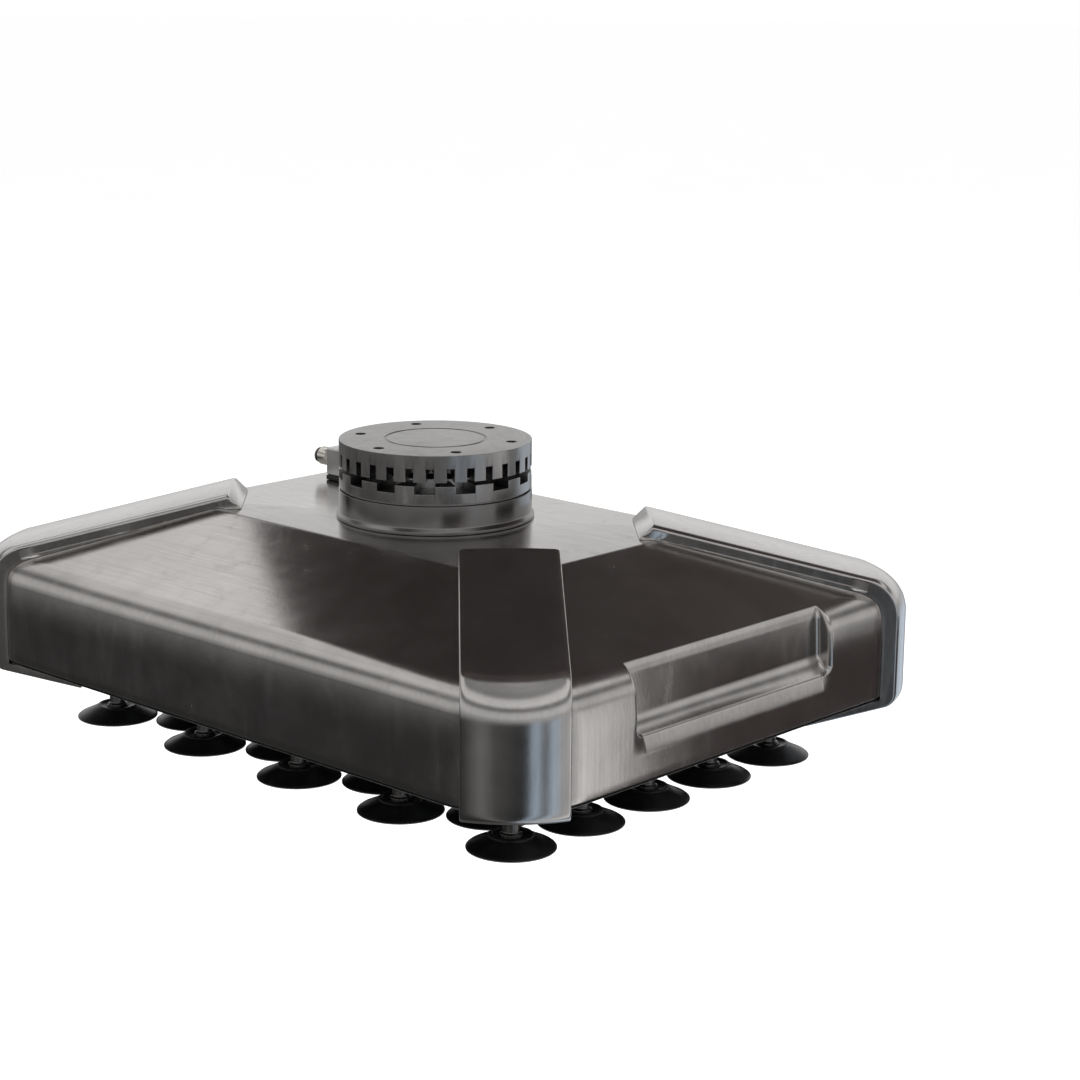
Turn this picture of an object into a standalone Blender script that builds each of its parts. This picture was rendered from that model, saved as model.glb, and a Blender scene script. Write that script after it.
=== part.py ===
"""Vacuum area gripper for a robot wrist: a cast cover with a hipped roof, four
corner guards, a coupling with castellated rings, and 41 sprung suction cups.

Frame: the origin is the centre of the robot-side flange face, +Z is up (away
from the work), +X runs along the long side of the body.  Units are metres.
Heights in the tables below are millimetres above the plane of the cup lips.
"""
import math

import bmesh
import bpy
from mathutils import Matrix, Vector

MM = 0.001
GAP = 0.3                      # clearance between touching pieces

# ---------------------------------------------------------------- body sizes
FLANGE_H = 318.0               # robot-side face above the cup lips
BODY_HX, BODY_HY = 403.0, 303.0
CORNER_R = 75.0                # vertical corner radius of cover and pan
PLATEAU_H = 237.5
PLATEAU_HX, PLATEAU_HY = 240.0, 145.0
EAVE_H = 177.0                 # where wall and roof planes would meet
EAVE_R = 32.0                  # fillet between wall and roof
SILL_H = 72.0                  # where wall and underside planes meet
PAN_H = 47.0                   # flat underside
PAN_HX, PAN_HY = 311.0, 211.0
PAN_INSET, PAN_T = 2.0, 8.0     # the pan lies inside the cover's outline
PAN_TOP = PAN_H + PAN_INSET + PAN_T
SEAM_LO, SEAM_HI = 73.2, 76.0  # top of the pan rim, bottom of the cover

# ------------------------------------------------------------- corner guards
GUARD_W = 97.0
GUARD_PROUD = 10.0             # stand-off from the rounded corner
GUARD_SLOPE = 0.249
GUARD_TOP = (57.3, 197.5)      # a point of the top crest: along, height
GUARD_END = 282.0              # inner end of the top face along the diagonal
GUARD_T = 13.4                 # thickness over the hip
GUARD_KNEE_R = 40.0
GUARD_LOW = (40.0, 64.0)       # a point of the bottom crest
GUARD_LOW_SLOPE = 0.25
GUARD_LOW_END = 124.0
GUARD_LOW_T = 8.0              # thickness under the pan
GUARD_EDGE_DROP = 3.4          # side edge below the crest
GUARD_CROWN_R = 650.0          # the guards are slightly arched across
GUARD_GROOVE = 4.0             # depth of the recessed strip on each side

# ------------------------------------------------------------------- pockets
POCKET_DEPTH = 17.5
POCKET_HW_OUT, POCKET_HW_IN = 146.0, 137.0
POCKET_SILL_OUT, POCKET_SILL_IN = 115.5, 134.0

# ------------------------------------------------------------------ coupling
COLLAR_R, FOOT_R = 99.5, 102.0
COLLAR_TOP = 266.5
RING_LO, RING_NOTCH, RING_TOP = 268.8, 279.0, 287.0
UP_TEETH, UP_ROOT = 290.8, 305.0
RING_R, RING_BORE = 99.0, 70.0
TEETH_LOWER, TEETH_UPPER = 15, 30
BOLT_PCD_R, BOLT_HOLE_R = 80.0, 5.5

# ------------------------------------------------------------------ air port
PORT_X, PORT_Y, PORT_W = -210.0, 55.0, 32.0
PORT_FOOT, PORT_TOP = 5.0, 36.0
PORT_AXIS = PLATEAU_H + 22.0

# ---------------------------------------------------------------------- cups
PITCH_X, PITCH_Y = 146.0, 96.0
CUP_SIDES = 10
STEM_R = 8.2
HEAD_LO, HEAD_HI, HEAD_R = 57.5, 65.5, 12.0
GUIDE_R = 8.9

COLLECTION = "vacuum_area_gripper"


# ------------------------------------------------------------------- set-up
def clear_scene():
    for ob in list(bpy.data.objects):
        bpy.data.objects.remove(ob, do_unlink=True)


def make_collection(name):
    old = bpy.data.collections.get(name)
    if old:
        bpy.data.collections.remove(old)
    col = bpy.data.collections.new(name)
    bpy.context.scene.collection.children.link(col)
    return col


def material(name, colour, metallic, roughness):
    mat = bpy.data.materials.new(name)
    mat.use_nodes = True
    bsdf = mat.node_tree.nodes["Principled BSDF"]
    bsdf.inputs["Base Color"].default_value = (*colour, 1.0)
    bsdf.inputs["Metallic"].default_value = metallic
    bsdf.inputs["Roughness"].default_value = roughness
    return mat


clear_scene()
PARTS = make_collection(COLLECTION)
CUTTERS = make_collection(COLLECTION + "_cutters")


def zz(h):
    """Part-frame height in metres of a height above the cup lips."""
    return (h - FLANGE_H) * MM


def shade(mesh, angle=32.0):
    mesh.shade_smooth()
    mesh.set_sharp_from_angle(angle=math.radians(angle))


def put(name, mesh, mat, location=(0.0, 0.0, 0.0), collection=None):
    ob = bpy.data.objects.new(name, mesh)
    ob.location = location
    (collection or PARTS).objects.link(ob)
    if mat is not None and not mesh.materials:
        mesh.materials.append(mat)
    return ob


def cutter(name, mesh, location=(0.0, 0.0, 0.0)):
    ob = put(name, mesh, None, location, CUTTERS)
    ob.hide_render = True
    ob.display_type = 'WIRE'
    return ob


def mesh_of(name, bm):
    bmesh.ops.remove_doubles(bm, verts=bm.verts, dist=2e-6)
    bmesh.ops.recalc_face_normals(bm, faces=bm.faces)
    me = bpy.data.meshes.new(name)
    bm.to_mesh(me)
    bm.free()
    return me


def boolean(ob, other, operation='DIFFERENCE'):
    mod = ob.modifiers.new(operation.lower(), 'BOOLEAN')
    mod.operation = operation
    mod.object = other
    mod.solver = 'EXACT'
    return mod


# --------------------------------------------------------- modelling helpers
def add_box(bm, x0, x1, y0, y1, h0, h1, matrix=None):
    """A box between two corners, in mm and heights, optionally moved."""
    size = Matrix.Diagonal(((x1 - x0) * MM, (y1 - y0) * MM, (h1 - h0) * MM, 1))
    mid = Vector(((x0 + x1) / 2 * MM, (y0 + y1) / 2 * MM, zz((h0 + h1) / 2)))
    m = Matrix.Translation(mid) @ size
    return bmesh.ops.create_cube(bm, size=1.0, matrix=(matrix @ m) if matrix else m)


def add_cylinder(bm, x, y, h0, h1, r0, r1=None, sides=24, turn=0.0):
    """A closed cylinder or cone frustum standing on +Z."""
    m = (Matrix.Translation(Vector((x * MM, y * MM, zz((h0 + h1) / 2))))
         @ Matrix.Rotation(turn, 4, 'Z'))
    return bmesh.ops.create_cone(bm, cap_ends=True, cap_tris=False, segments=sides,
                                 radius1=r0 * MM, radius2=(r1 or r0) * MM,
                                 depth=(h1 - h0) * MM, matrix=m)


def cut(bm, point, normal):
    """Keep what lies behind a plane and close the cut."""
    geom = bm.verts[:] + bm.edges[:] + bm.faces[:]
    out = bmesh.ops.bisect_plane(bm, geom=geom, dist=1e-7, plane_co=point,
                                 plane_no=normal, clear_outer=True)
    edges = [e for e in out['geom_cut'] if isinstance(e, bmesh.types.BMEdge)]
    if edges:
        bmesh.ops.contextual_create(bm, geom=edges)


def rounded_prism(hx, hy, radius, h0, h1, segments=8):
    """A block with its four vertical edges rounded."""
    bm = bmesh.new()
    add_box(bm, -hx, hx, -hy, hy, h0, h1)
    if radius > 0:
        upright = [e for e in bm.edges
                   if abs(e.verts[0].co.z - e.verts[1].co.z) > 1e-4]
        bmesh.ops.bevel(bm, geom=upright, offset=radius * MM, segments=segments,
                        profile=0.5, affect='EDGES')
    return bm


def side_planes(hx, hy, px, py, wall_h, top_h, grow, up):
    """Sloped planes of a hipped form, one for each side, as point and normal."""
    planes = []
    for axis, half, flat in ((0, hx, px), (1, hy, py)):
        rise = (top_h - wall_h) * (1 if up else -1)
        run = half - flat
        for sign in (1, -1):
            n = Vector((0.0, 0.0, 0.0))
            n[axis] = sign * rise
            n.z = run if up else -run
            n.normalize()
            p = Vector((0.0, 0.0, zz(wall_h)))
            p[axis] = sign * half * MM
            planes.append((axis, sign, half, p + n * grow * MM, n))
    return planes


def core(grow=0.0, hx=BODY_HX, hy=BODY_HY, h_low=None, h_high=None, eaves=3):
    """The closed outer form of cover and pan, grown by a distance in mm."""
    bm = rounded_prism(hx + grow, hy + grow, CORNER_R + grow, 20.0, 260.0, 6)
    cut(bm, Vector((0, 0, zz(PLATEAU_H + grow))), Vector((0, 0, 1)))
    cut(bm, Vector((0, 0, zz(PAN_H - grow))), Vector((0, 0, -1)))
    roof = side_planes(BODY_HX, BODY_HY, PLATEAU_HX, PLATEAU_HY,
                       EAVE_H, PLATEAU_H, grow, True)
    for axis, sign, half, p, n in roof:
        cut(bm, p, n)
        # fillet between wall and roof, as tangent planes around its axis
        wall = Vector((0.0, 0.0, 0.0))
        wall[axis] = sign
        turn = wall.angle(n)
        inner = 1.0 / math.cos(turn / 2)
        mid = (wall + n).normalized()
        corner = Vector((0.0, 0.0, zz(EAVE_H)))
        corner[axis] = sign * half * MM
        centre = corner - mid * (EAVE_R * inner) * MM
        for k in range(1, eaves + 1):
            part = k / (eaves + 1)
            d = (wall * math.sin((1 - part) * turn) + n * math.sin(part * turn))
            d.normalize()
            cut(bm, centre + d * (EAVE_R + grow) * MM, d)
    for axis, sign, half, p, n in side_planes(BODY_HX, BODY_HY, PAN_HX, PAN_HY,
                                              SILL_H, PAN_H, grow, False):
        cut(bm, p, n)
    # flats on the hips, above and below, that carry the corner guards
    for sx in (1, -1):
        for sy in (1, -1):
            f = diagonal(sx, sy)
            for d0, h0, slope, depth, up in (
                    (*GUARD_TOP, GUARD_SLOPE, GUARD_T, 1),
                    (*GUARD_LOW, -GUARD_LOW_SLOPE, GUARD_LOW_T, -1)):
                n = (f.vec(-slope * up, 0, 1.0 * up)).normalized()
                p = f.at(d0, 0, h0) - n * (depth - grow) * MM
                cut(bm, p, n)
            # ease the corner under the knee of the guard
            for elev in (22.0, 45.0, 66.0):
                n = f.vec(-math.cos(math.radians(elev)), 0,
                          math.sin(math.radians(elev)))
                c = f.at(CORNER_R * (math.sqrt(2) - 1) + 30.0, 0,
                         GUARD_TOP[1] - 6.7 - GUARD_T - 31.0)
                cut(bm, c + n * (30.0 + grow) * MM, n)
    if h_low is not None:
        cut(bm, Vector((0, 0, zz(h_low))), Vector((0, 0, -1)))
    if h_high is not None:
        cut(bm, Vector((0, 0, zz(h_high))), Vector((0, 0, 1)))
    return bm


class diagonal:
    """Axes of one corner: along the diagonal inward, across it, and height."""

    def __init__(self, sx, sy):
        s = math.sqrt(0.5)
        self.corner = Vector((sx * BODY_HX * MM, sy * BODY_HY * MM, 0))
        self.along = Vector((-sx * s, -sy * s, 0))
        self.across = Vector((sy * s, -sx * s, 0))

    def at(self, d, w, h):
        return (self.corner + self.along * d * MM + self.across * w * MM
                + Vector((0, 0, zz(h))))

    def vec(self, d, w, z):
        return self.along * d + self.across * w + Vector((0, 0, z))


def guard_block(sx, sy):
    """The outer form of one corner guard, cut from a block by its planes."""
    f = diagonal(sx, sy)
    bm = bmesh.new()
    turn = Matrix.Rotation(math.atan2(f.along.y, f.along.x), 4, 'Z')
    centre = f.at(160.0, 0, 150.0)
    bmesh.ops.create_cube(bm, size=1.0, matrix=Matrix.Translation(centre) @ turn
                          @ Matrix.Diagonal((0.34, GUARD_W * MM, 0.26, 1)))
    out_r = CORNER_R + GUARD_PROUD
    d_c = CORNER_R * math.sqrt(2)
    # top, bottom and the two ends
    top_n = f.vec(-GUARD_SLOPE, 0, 1).normalized()
    top_p = f.at(GUARD_TOP[0], 0, GUARD_TOP[1])
    low_n = f.vec(-GUARD_LOW_SLOPE, 0, -1).normalized()
    low_p = f.at(GUARD_LOW[0], 0, GUARD_LOW[1])
    end_h = GUARD_TOP[1] + (GUARD_END - GUARD_TOP[0]) * GUARD_SLOPE
    low_h = GUARD_LOW[1] - (GUARD_LOW_END - GUARD_LOW[0]) * GUARD_LOW_SLOPE
    for n0, p0 in ((top_n, top_p), (low_n, low_p)):
        for deg in (-7.0, -3.5, 0.0, 3.5, 7.0):
            a = math.radians(deg)
            n = n0 * math.cos(a) + f.across * math.sin(a)
            cut(bm, p0 - n0 * GUARD_CROWN_R * MM + n * GUARD_CROWN_R * MM, n)
    cut(bm, f.at(GUARD_END, 0, end_h), f.vec(1, 0, 1).normalized())
    cut(bm, f.at(GUARD_LOW_END, 0, low_h), f.vec(1, 0, -1).normalized())
    # chamfers along the two top edges
    for side in (1, -1):
        a = math.radians(24.0)
        n = (top_n * math.cos(a) + f.across * side * math.sin(a)).normalized()
        cut(bm, f.at(GUARD_TOP[0], side * GUARD_W / 2,
                     GUARD_TOP[1] - GUARD_EDGE_DROP), n)
    # rounded outer face, knee and heel, as tangent planes
    knee_z = GUARD_TOP[1] + (d_c - out_r - GUARD_TOP[0]) * GUARD_SLOPE
    heel_z = GUARD_LOW[1] - (d_c - out_r - GUARD_LOW[0]) * GUARD_LOW_SLOPE
    for az in (-28.0, -20.0, -12.0, -4.0, 4.0, 12.0, 20.0, 28.0):
        a = math.radians(az)
        radial = f.vec(-math.cos(a), math.sin(a), 0)
        axis = f.at(d_c, 0, 0)
        cut(bm, Vector((axis.x, axis.y, zz(150))) + radial * out_r * MM, radial)
    for az in (-24.0, -8.0, 8.0, 24.0):
        a = math.radians(az)
        radial = f.vec(-math.cos(a), math.sin(a), 0)
        axis = f.at(d_c, 0, 0)
        for rad, z0, sign, elevs in ((GUARD_KNEE_R, knee_z, 1, (20.0, 38.0, 56.0)),
                                     (14.0, heel_z, -1, (25.0, 50.0))):
            tilt = math.atan(GUARD_SLOPE)
            drop = rad * math.tan((math.pi / 2 - tilt) / 2)
            c = (Vector((axis.x, axis.y, zz(z0 - sign * drop)))
                 + radial * (out_r - rad) * MM)
            for el in elevs:
                e = math.radians(el)
                n = radial * math.cos(e) + Vector((0, 0, sign * math.sin(e)))
                cut(bm, c + n * rad * MM, n)
    return bm


def groove_cutter(sx, sy, side):
    """The recessed strip along one side of a guard's top arm."""
    f = diagonal(sx, sy)
    tilt = math.atan(GUARD_SLOPE)
    d_mid = 172.0
    h_mid = (GUARD_TOP[1] - GUARD_EDGE_DROP - 6.5
             + (d_mid - GUARD_TOP[0]) * GUARD_SLOPE)
    x = f.vec(math.cos(tilt), 0, math.sin(tilt))
    y = f.across
    z = x.cross(y)
    rot = Matrix((x, y, z)).transposed().to_4x4()
    m = Matrix.Translation(f.at(d_mid, side * (GUARD_W / 2), h_mid)) @ rot
    bm = bmesh.new()
    bmesh.ops.create_cube(bm, size=1.0, matrix=m @ Matrix.Diagonal(
        (0.212, 2 * GUARD_GROOVE * MM, 0.0092, 1)))
    return bm


def turned(name, profile, sides, mat, location=(0.0, 0.0), smooth=True):
    """A turned piece: a profile of radius and height swept about +Z."""
    bm = bmesh.new()
    verts = [bm.verts.new((r * MM, 0.0, zz(h))) for r, h in profile]
    closed = profile[0][0] > 0
    for a, b in zip(verts, verts[1:] + (verts[:1] if closed else [])):
        bm.edges.new((a, b))
    me = bpy.data.meshes.new(name)
    bm.to_mesh(me)
    bm.free()
    ob = put(name, me, mat, (location[0] * MM, location[1] * MM, 0.0))
    mod = ob.modifiers.new("turn", 'SCREW')
    mod.axis = 'Z'
    mod.angle = math.tau
    mod.steps = sides
    mod.render_steps = sides
    mod.use_merge_vertices = True
    mod.merge_threshold = 1e-5
    mod.use_smooth_shade = smooth
    return ob


def baked(ob):
    """The evaluated mesh of an object, so that copies can share it."""
    deps = bpy.context.evaluated_depsgraph_get()
    me = bpy.data.meshes.new_from_object(ob.evaluated_get(deps))
    return me


# ----------------------------------------------------------------- materials
CAST = material("cast_gunmetal", (0.115, 0.105, 0.098), 1.0, 0.30)
PANM = material("pan_steel", (0.10, 0.095, 0.09), 1.0, 0.38)
GUARDM = material("guard_steel", (0.13, 0.12, 0.112), 1.0, 0.27)
RUBBER = material("black_rubber", (0.012, 0.012, 0.013), 0.0, 0.55)
SEAL = material("seal_rubber", (0.02, 0.02, 0.02), 0.0, 0.7)
COLLARM = material("collar_steel", (0.085, 0.082, 0.08), 1.0, 0.30)
RINGM = material("ring_steel", (0.075, 0.072, 0.07), 1.0, 0.36)
HUBM = material("hub_steel", (0.16, 0.16, 0.16), 1.0, 0.35)
BLOCKM = material("port_alloy", (0.20, 0.19, 0.185), 1.0, 0.34)
FITM = material("fitting_nickel", (0.45, 0.44, 0.42), 1.0, 0.25)
PLATEM = material("spring_plate_alloy", (0.32, 0.32, 0.33), 1.0, 0.4)
EJECTM = material("ejector_body", (0.05, 0.05, 0.055), 0.0, 0.45)
FILTERM = material("filter_polymer", (0.35, 0.36, 0.36), 0.0, 0.3)
SENSORM = material("sensor_polymer", (0.04, 0.05, 0.07), 0.0, 0.4)

# --------------------------------------------------------------------- cover
me = mesh_of("housing_cover", core(h_low=SEAM_HI))
shade(me)
cover = put("housing_cover", me, CAST)

# chamber: thinner wall along the long sides, thick ends behind the pockets
bm = core(grow=-12.0, h_low=None)
for sign in (1, -1):
    cut(bm, Vector((sign * 374 * MM, 0, 0)), Vector((sign, 0, 0)))
cut(bm, Vector((0, 0, zz(60.0))), Vector((0, 0, -1)))
chamber = cutter("cut_chamber", mesh_of("cut_chamber", bm))
boolean(cover, chamber)

# the chamber is opened to the full clear width of the seam
bm = rounded_prism(374.0, 290.0, 62.0, 50.0, 96.0, 6)
boolean(cover, cutter("cut_mouth", mesh_of("cut_mouth", bm)))

# pockets in the two short faces, open through the eave
for sign, tag in ((1, "right"), (-1, "left")):
    bm = bmesh.new()
    add_box(bm, -1, 1, -1, 1, 0, 2)
    wide, deep = BODY_HX + 30.0, BODY_HX - POCKET_DEPTH
    run = (BODY_HX + 30.0 - deep) / POCKET_DEPTH
    for v in bm.verts:
        outer = v.co.x > 0
        top = v.co.z > zz(1)
        y = (POCKET_HW_IN + (POCKET_HW_OUT - POCKET_HW_IN) * (run if outer else 0))
        low = (POCKET_SILL_IN
               + (POCKET_SILL_OUT - POCKET_SILL_IN) * (run if outer else 0))
        v.co = Vector(((wide if outer else deep) * sign * MM,
                       math.copysign(y * MM, v.co.y),
                       zz(230.0 if top else low)))
    soft = [e for e in bm.edges
            if all(abs(v.co.x) < wide * MM - 1e-6 for v in e.verts)
            and not all(v.co.z > zz(200) for v in e.verts)]
    bmesh.ops.bevel(bm, geom=soft, offset=6.0 * MM, segments=2, profile=0.5,
                    affect='EDGES')
    boolean(cover, cutter("cut_pocket_" + tag, mesh_of("cut_pocket", bm)))

# air way through the plateau, under the collar
bm = bmesh.new()
add_cylinder(bm, 0, 0, 200, 260, 30, sides=24)
boolean(cover, cutter("cut_airway", mesh_of("cut_airway", bm)))

# ----------------------------------------------------------------------- pan
me = mesh_of("base_pan", core(grow=-PAN_INSET, h_high=SEAM_LO))
shade(me)
pan = put("base_pan", me, PANM)
bm = core(grow=-PAN_INSET - PAN_T)
cut(bm, Vector((0, 0, zz(140.0))), Vector((0, 0, 1)))
boolean(pan, cutter("cut_pan", mesh_of("cut_pan", bm)))

CUPS = []
for i in range(5):
    for j in range(5):
        CUPS.append(("a%d%d" % (i + 1, j + 1),
                     (i - 2) * PITCH_X, (j - 2) * PITCH_Y))
for i in range(4):
    for j in range(4):
        CUPS.append(("b%d%d" % (i + 1, j + 1),
                     (i - 1.5) * PITCH_X, (j - 1.5) * PITCH_Y))
bm = bmesh.new()
for tag, x, y in CUPS:
    add_cylinder(bm, x, y, 40, 64, GUIDE_R, sides=12)
boolean(pan, cutter("cut_guides", mesh_of("cut_guides", bm)))

# -------------------------------------------------------------------- gasket
bm = rounded_prism(BODY_HX - 3.5, BODY_HY - 3.5, CORNER_R - 3.5,
                   SEAM_LO + GAP, SEAM_HI - GAP, 6)
gasket = put("cover_gasket", mesh_of("cover_gasket", bm), SEAL)
bm = rounded_prism(BODY_HX - 12.5, BODY_HY - 12.5, CORNER_R - 12.5, 60, 90, 6)
boolean(gasket, cutter("cut_gasket", mesh_of("cut_gasket", bm)))

# ------------------------------------------------------------- corner guards
grown = cutter("cut_core", mesh_of("cut_core", core(grow=GAP)))
for sx, sy, tag in ((1, -1, "front_right"), (-1, -1, "front_left"),
                    (1, 1, "back_right"), (-1, 1, "back_left")):
    me = mesh_of("corner_guard_" + tag, guard_block(sx, sy))
    shade(me, 28)
    guard = put("corner_guard_" + tag, me, GUARDM)
    boolean(guard, grown)
    for side in (1, -1):
        name = "cut_groove_%s_%d" % (tag, (side + 1) // 2)
        boolean(guard, cutter(name, mesh_of(name, groove_cutter(sx, sy, side))))

# ------------------------------------------------------------------ coupling
P0 = PLATEAU_H + GAP
turned("mounting_collar", [
    (31, COLLAR_TOP + 2.0), (96, COLLAR_TOP + 2.0), (96, COLLAR_TOP),
    (COLLAR_R, COLLAR_TOP), (COLLAR_R, P0 + 5.5), (FOOT_R, P0 + 3.0),
    (FOOT_R, P0), (31, P0)], 48, COLLARM)

bm = bmesh.new()
add_cylinder(bm, 0, 0, RING_LO, RING_TOP, RING_R, sides=60)
me = mesh_of("coupling_ring_lower", bm)
shade(me)
lower = put("coupling_ring_lower", me, RINGM)
bm = bmesh.new()
add_cylinder(bm, 0, 0, 250, 300, RING_BORE, sides=48)
boolean(lower, cutter("cut_lower_bore", mesh_of("cut_lower_bore", bm)))


def radial_slots(count, width_deg, r_in, r_out, h0, h1, start=0.0):
    """Boxes that widen outward, one for each gap between teeth."""
    bm = bmesh.new()
    half = math.radians(width_deg) / 2
    for k in range(count):
        a = math.radians(start) + k * math.tau / count
        made = bmesh.ops.create_cube(bm, size=1.0)
        for v in made['verts']:
            r = r_out if v.co.x > 0 else r_in
            w = math.copysign(r * math.tan(half), v.co.y)
            h = h1 if v.co.z > 0 else h0
            v.co = Vector(((r * math.cos(a) - w * math.sin(a)) * MM,
                           (r * math.sin(a) + w * math.cos(a)) * MM, zz(h)))
    return bm


boolean(lower, cutter("cut_lower_teeth", mesh_of("cut_lower_teeth", radial_slots(
    TEETH_LOWER, 12.0, 60, 115, RING_NOTCH, 295, start=-51.0))))

bm = bmesh.new()
add_cylinder(bm, 0, 0, UP_TEETH, FLANGE_H, RING_R, sides=60)
me = mesh_of("coupling_ring_upper", bm)
shade(me)
upper = put("coupling_ring_upper", me, RINGM)
bm = bmesh.new()
add_cylinder(bm, 0, 0, 280, UP_ROOT, 86, sides=48)
boolean(upper, cutter("cut_upper_bore", mesh_of("cut_upper_bore", bm)))
boolean(upper, cutter("cut_upper_teeth", mesh_of("cut_upper_teeth", radial_slots(
    TEETH_UPPER, 4.6, 70, 115, 285, UP_ROOT - 0.5, start=-48.0))))
bm = bmesh.new()
for k in range(6):
    a = math.radians(30 + 60 * k)
    add_cylinder(bm, BOLT_PCD_R * math.cos(a), BOLT_PCD_R * math.sin(a),
                 295, 330, BOLT_HOLE_R, sides=12)
boolean(upper, cutter("cut_flange_bolts", mesh_of("cut_flange_bolts", bm)))

turned("coupling_hub", [
    (15, UP_ROOT - GAP), (58, UP_ROOT - GAP), (58, 292), (69.5, 289),
    (69.5, COLLAR_TOP + 2.0 + GAP), (15, COLLAR_TOP + 2.0 + GAP)], 36, HUBM)

# ------------------------------------------------------- air port on the roof
bm = bmesh.new()
add_box(bm, PORT_X, PORT_X + PORT_W, PORT_Y - PORT_W / 2, PORT_Y + PORT_W / 2,
        P0, P0 + PORT_FOOT)
put("port_block_seal", mesh_of("port_block_seal", bm), SEAL)
bm = bmesh.new()
add_box(bm, PORT_X, PORT_X + PORT_W, PORT_Y - PORT_W / 2, PORT_Y + PORT_W / 2,
        P0 + PORT_FOOT + GAP, P0 + PORT_TOP)
top = [e for e in bm.edges if all(v.co.z > zz(P0 + 20) for v in e.verts)]
upright = [e for e in bm.edges
           if abs(e.verts[0].co.z - e.verts[1].co.z) > 1e-3]
bmesh.ops.bevel(bm, geom=top + upright, offset=3.0 * MM, segments=1,
                affect='EDGES')
me = mesh_of("air_port_block", bm)
shade(me)
block = put("air_port_block", me, BLOCKM)
# bore for the fitting's thread
bm = bmesh.new()
bmesh.ops.create_cone(bm, cap_ends=True, segments=20, radius1=8.4 * MM,
                      radius2=8.4 * MM, depth=40 * MM,
                      matrix=Matrix.Translation(((PORT_X - 4) * MM, PORT_Y * MM,
                                                   zz(PORT_AXIS)))
                      @ Matrix.Rotation(math.pi / 2, 4, 'Y'))
boolean(block, cutter("cut_port", mesh_of("cut_port", bm)))

# push-in fitting: thread, hexagon, barrel and release sleeve, lying along -X
fit = bmesh.new()


def lying(bm, x0, x1, r0, r1, sides):
    depth = abs(x1 - x0) * MM
    m = (Matrix.Translation(((PORT_X + min(x0, x1)) * MM + depth / 2, PORT_Y * MM,
                             zz(PORT_AXIS)))
         @ Matrix.Rotation(math.pi / 2, 4, 'Y'))
    return bmesh.ops.create_cone(bm, cap_ends=True, segments=sides,
                                 radius1=r0 * MM, radius2=r1 * MM,
                                 depth=depth, matrix=m)


lying(fit, -GAP, -10, 11.5, 11.5, 6)
me = mesh_of("air_inlet_fitting", fit)
fitting = put("air_inlet_fitting", me, FITM)
pieces = []
for k, (x0, x1, r0, r1, sides) in enumerate((
        (14, -1.5, 8.0, 8.0, 16), (-9, -24, 10.0, 10.0, 20),
        (-23, -28, 8.6, 8.6, 20))):
    bm = bmesh.new()
    lying(bm, x0, x1, r0, r1, sides)
    boolean(fitting, cutter("add_fitting_%d" % k, mesh_of("add_fitting", bm)),
            'UNION')
bm = bmesh.new()
lying(bm, 8, -40, 5.0, 5.0, 16)
boolean(fitting, cutter("cut_fitting", mesh_of("cut_fitting", bm)))

# ------------------------------------------------------------ inside the body
# plate that the cup springs press against, standing on four posts
bm = rounded_prism(330.0, 232.0, 40.0, 112.0, 118.0, 3)
spring_plate = put("spring_plate", mesh_of("spring_plate", bm), PLATEM)
for k, (x, y) in enumerate(((297, 119), (297, -119), (-297, 119), (-297, -119))):
    bm = bmesh.new()
    add_cylinder(bm, x, y, PAN_TOP + GAP, 115.0, 9.0, sides=12)
    boolean(spring_plate, cutter("add_post_%d" % k, mesh_of("add_post", bm)), 'UNION')
bm = bmesh.new()
for x in (-182.0, 182.0):
    for y in (-95.0, 0.0, 95.0):
        add_box(bm, x - 20, x + 20, y - 18, y + 18, 100, 130)
boolean(spring_plate, cutter("cut_vents", mesh_of("cut_vents", bm)))

# vacuum generator under the roof
bm = bmesh.new()
add_box(bm, -95, 85, -32, 32, 118.0 + GAP, 168)
upright = [e for e in bm.edges if abs(e.verts[0].co.x - e.verts[1].co.x) > 0.05]
bmesh.ops.bevel(bm, geom=upright, offset=6.0 * MM, segments=2, profile=0.5,
                affect='EDGES')
put("vacuum_ejector", mesh_of("vacuum_ejector", bm), EJECTM)

bm = bmesh.new()
add_cylinder(bm, 150, 0, 118.0 + GAP, 186, 34, sides=28)
me = mesh_of("vacuum_filter", bm)
shade(me)
put("vacuum_filter", me, FILTERM)

bm = bmesh.new()
add_box(bm, -178, -128, -24, 24, 118.0 + GAP, 150)
put("pressure_sensor", mesh_of("pressure_sensor", bm), SENSORM)

# ---------------------------------------------------------------------- cups
# one sprung suction cup: lip, hub and stem with its retaining head
first = None
for tag, x, y in CUPS:
    name = "suction_cup_" + tag
    if first is None:
        first = turned(name, [
            (0, HEAD_HI), (HEAD_R, HEAD_HI), (HEAD_R, HEAD_LO), (STEM_R, HEAD_LO),
            (STEM_R, 20), (12, 11.5), (21, 13), (42.5, 2), (42.5, 0), (38, 0),
            (0, 3)], CUP_SIDES, RUBBER, smooth=False)
        shared = baked(first)
        shared.name = "suction_cup"
        bpy.data.objects.remove(first, do_unlink=True)
        bm = bmesh.new()
        bm.from_mesh(shared)
        bmesh.ops.translate(bm, verts=bm.verts, vec=(0, 0, -zz(0)))
        bm.to_mesh(shared)
        bm.free()
        shade(shared, 35)
    ob = put(name, shared, RUBBER, (x * MM, y * MM, zz(0)))
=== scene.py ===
"""Looks of the vacuum area gripper: fine surfaces, finishes, light and camera.

Positions are in metres in the part's own frame.  The tables below are in
millimetres: heights (h) are above the plane of the cup lips, d and w run along
and across the diagonal of a corner, measured from the corner of the body.
"""

import math

import bmesh
import bpy
from mathutils import Matrix, Vector


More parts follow.
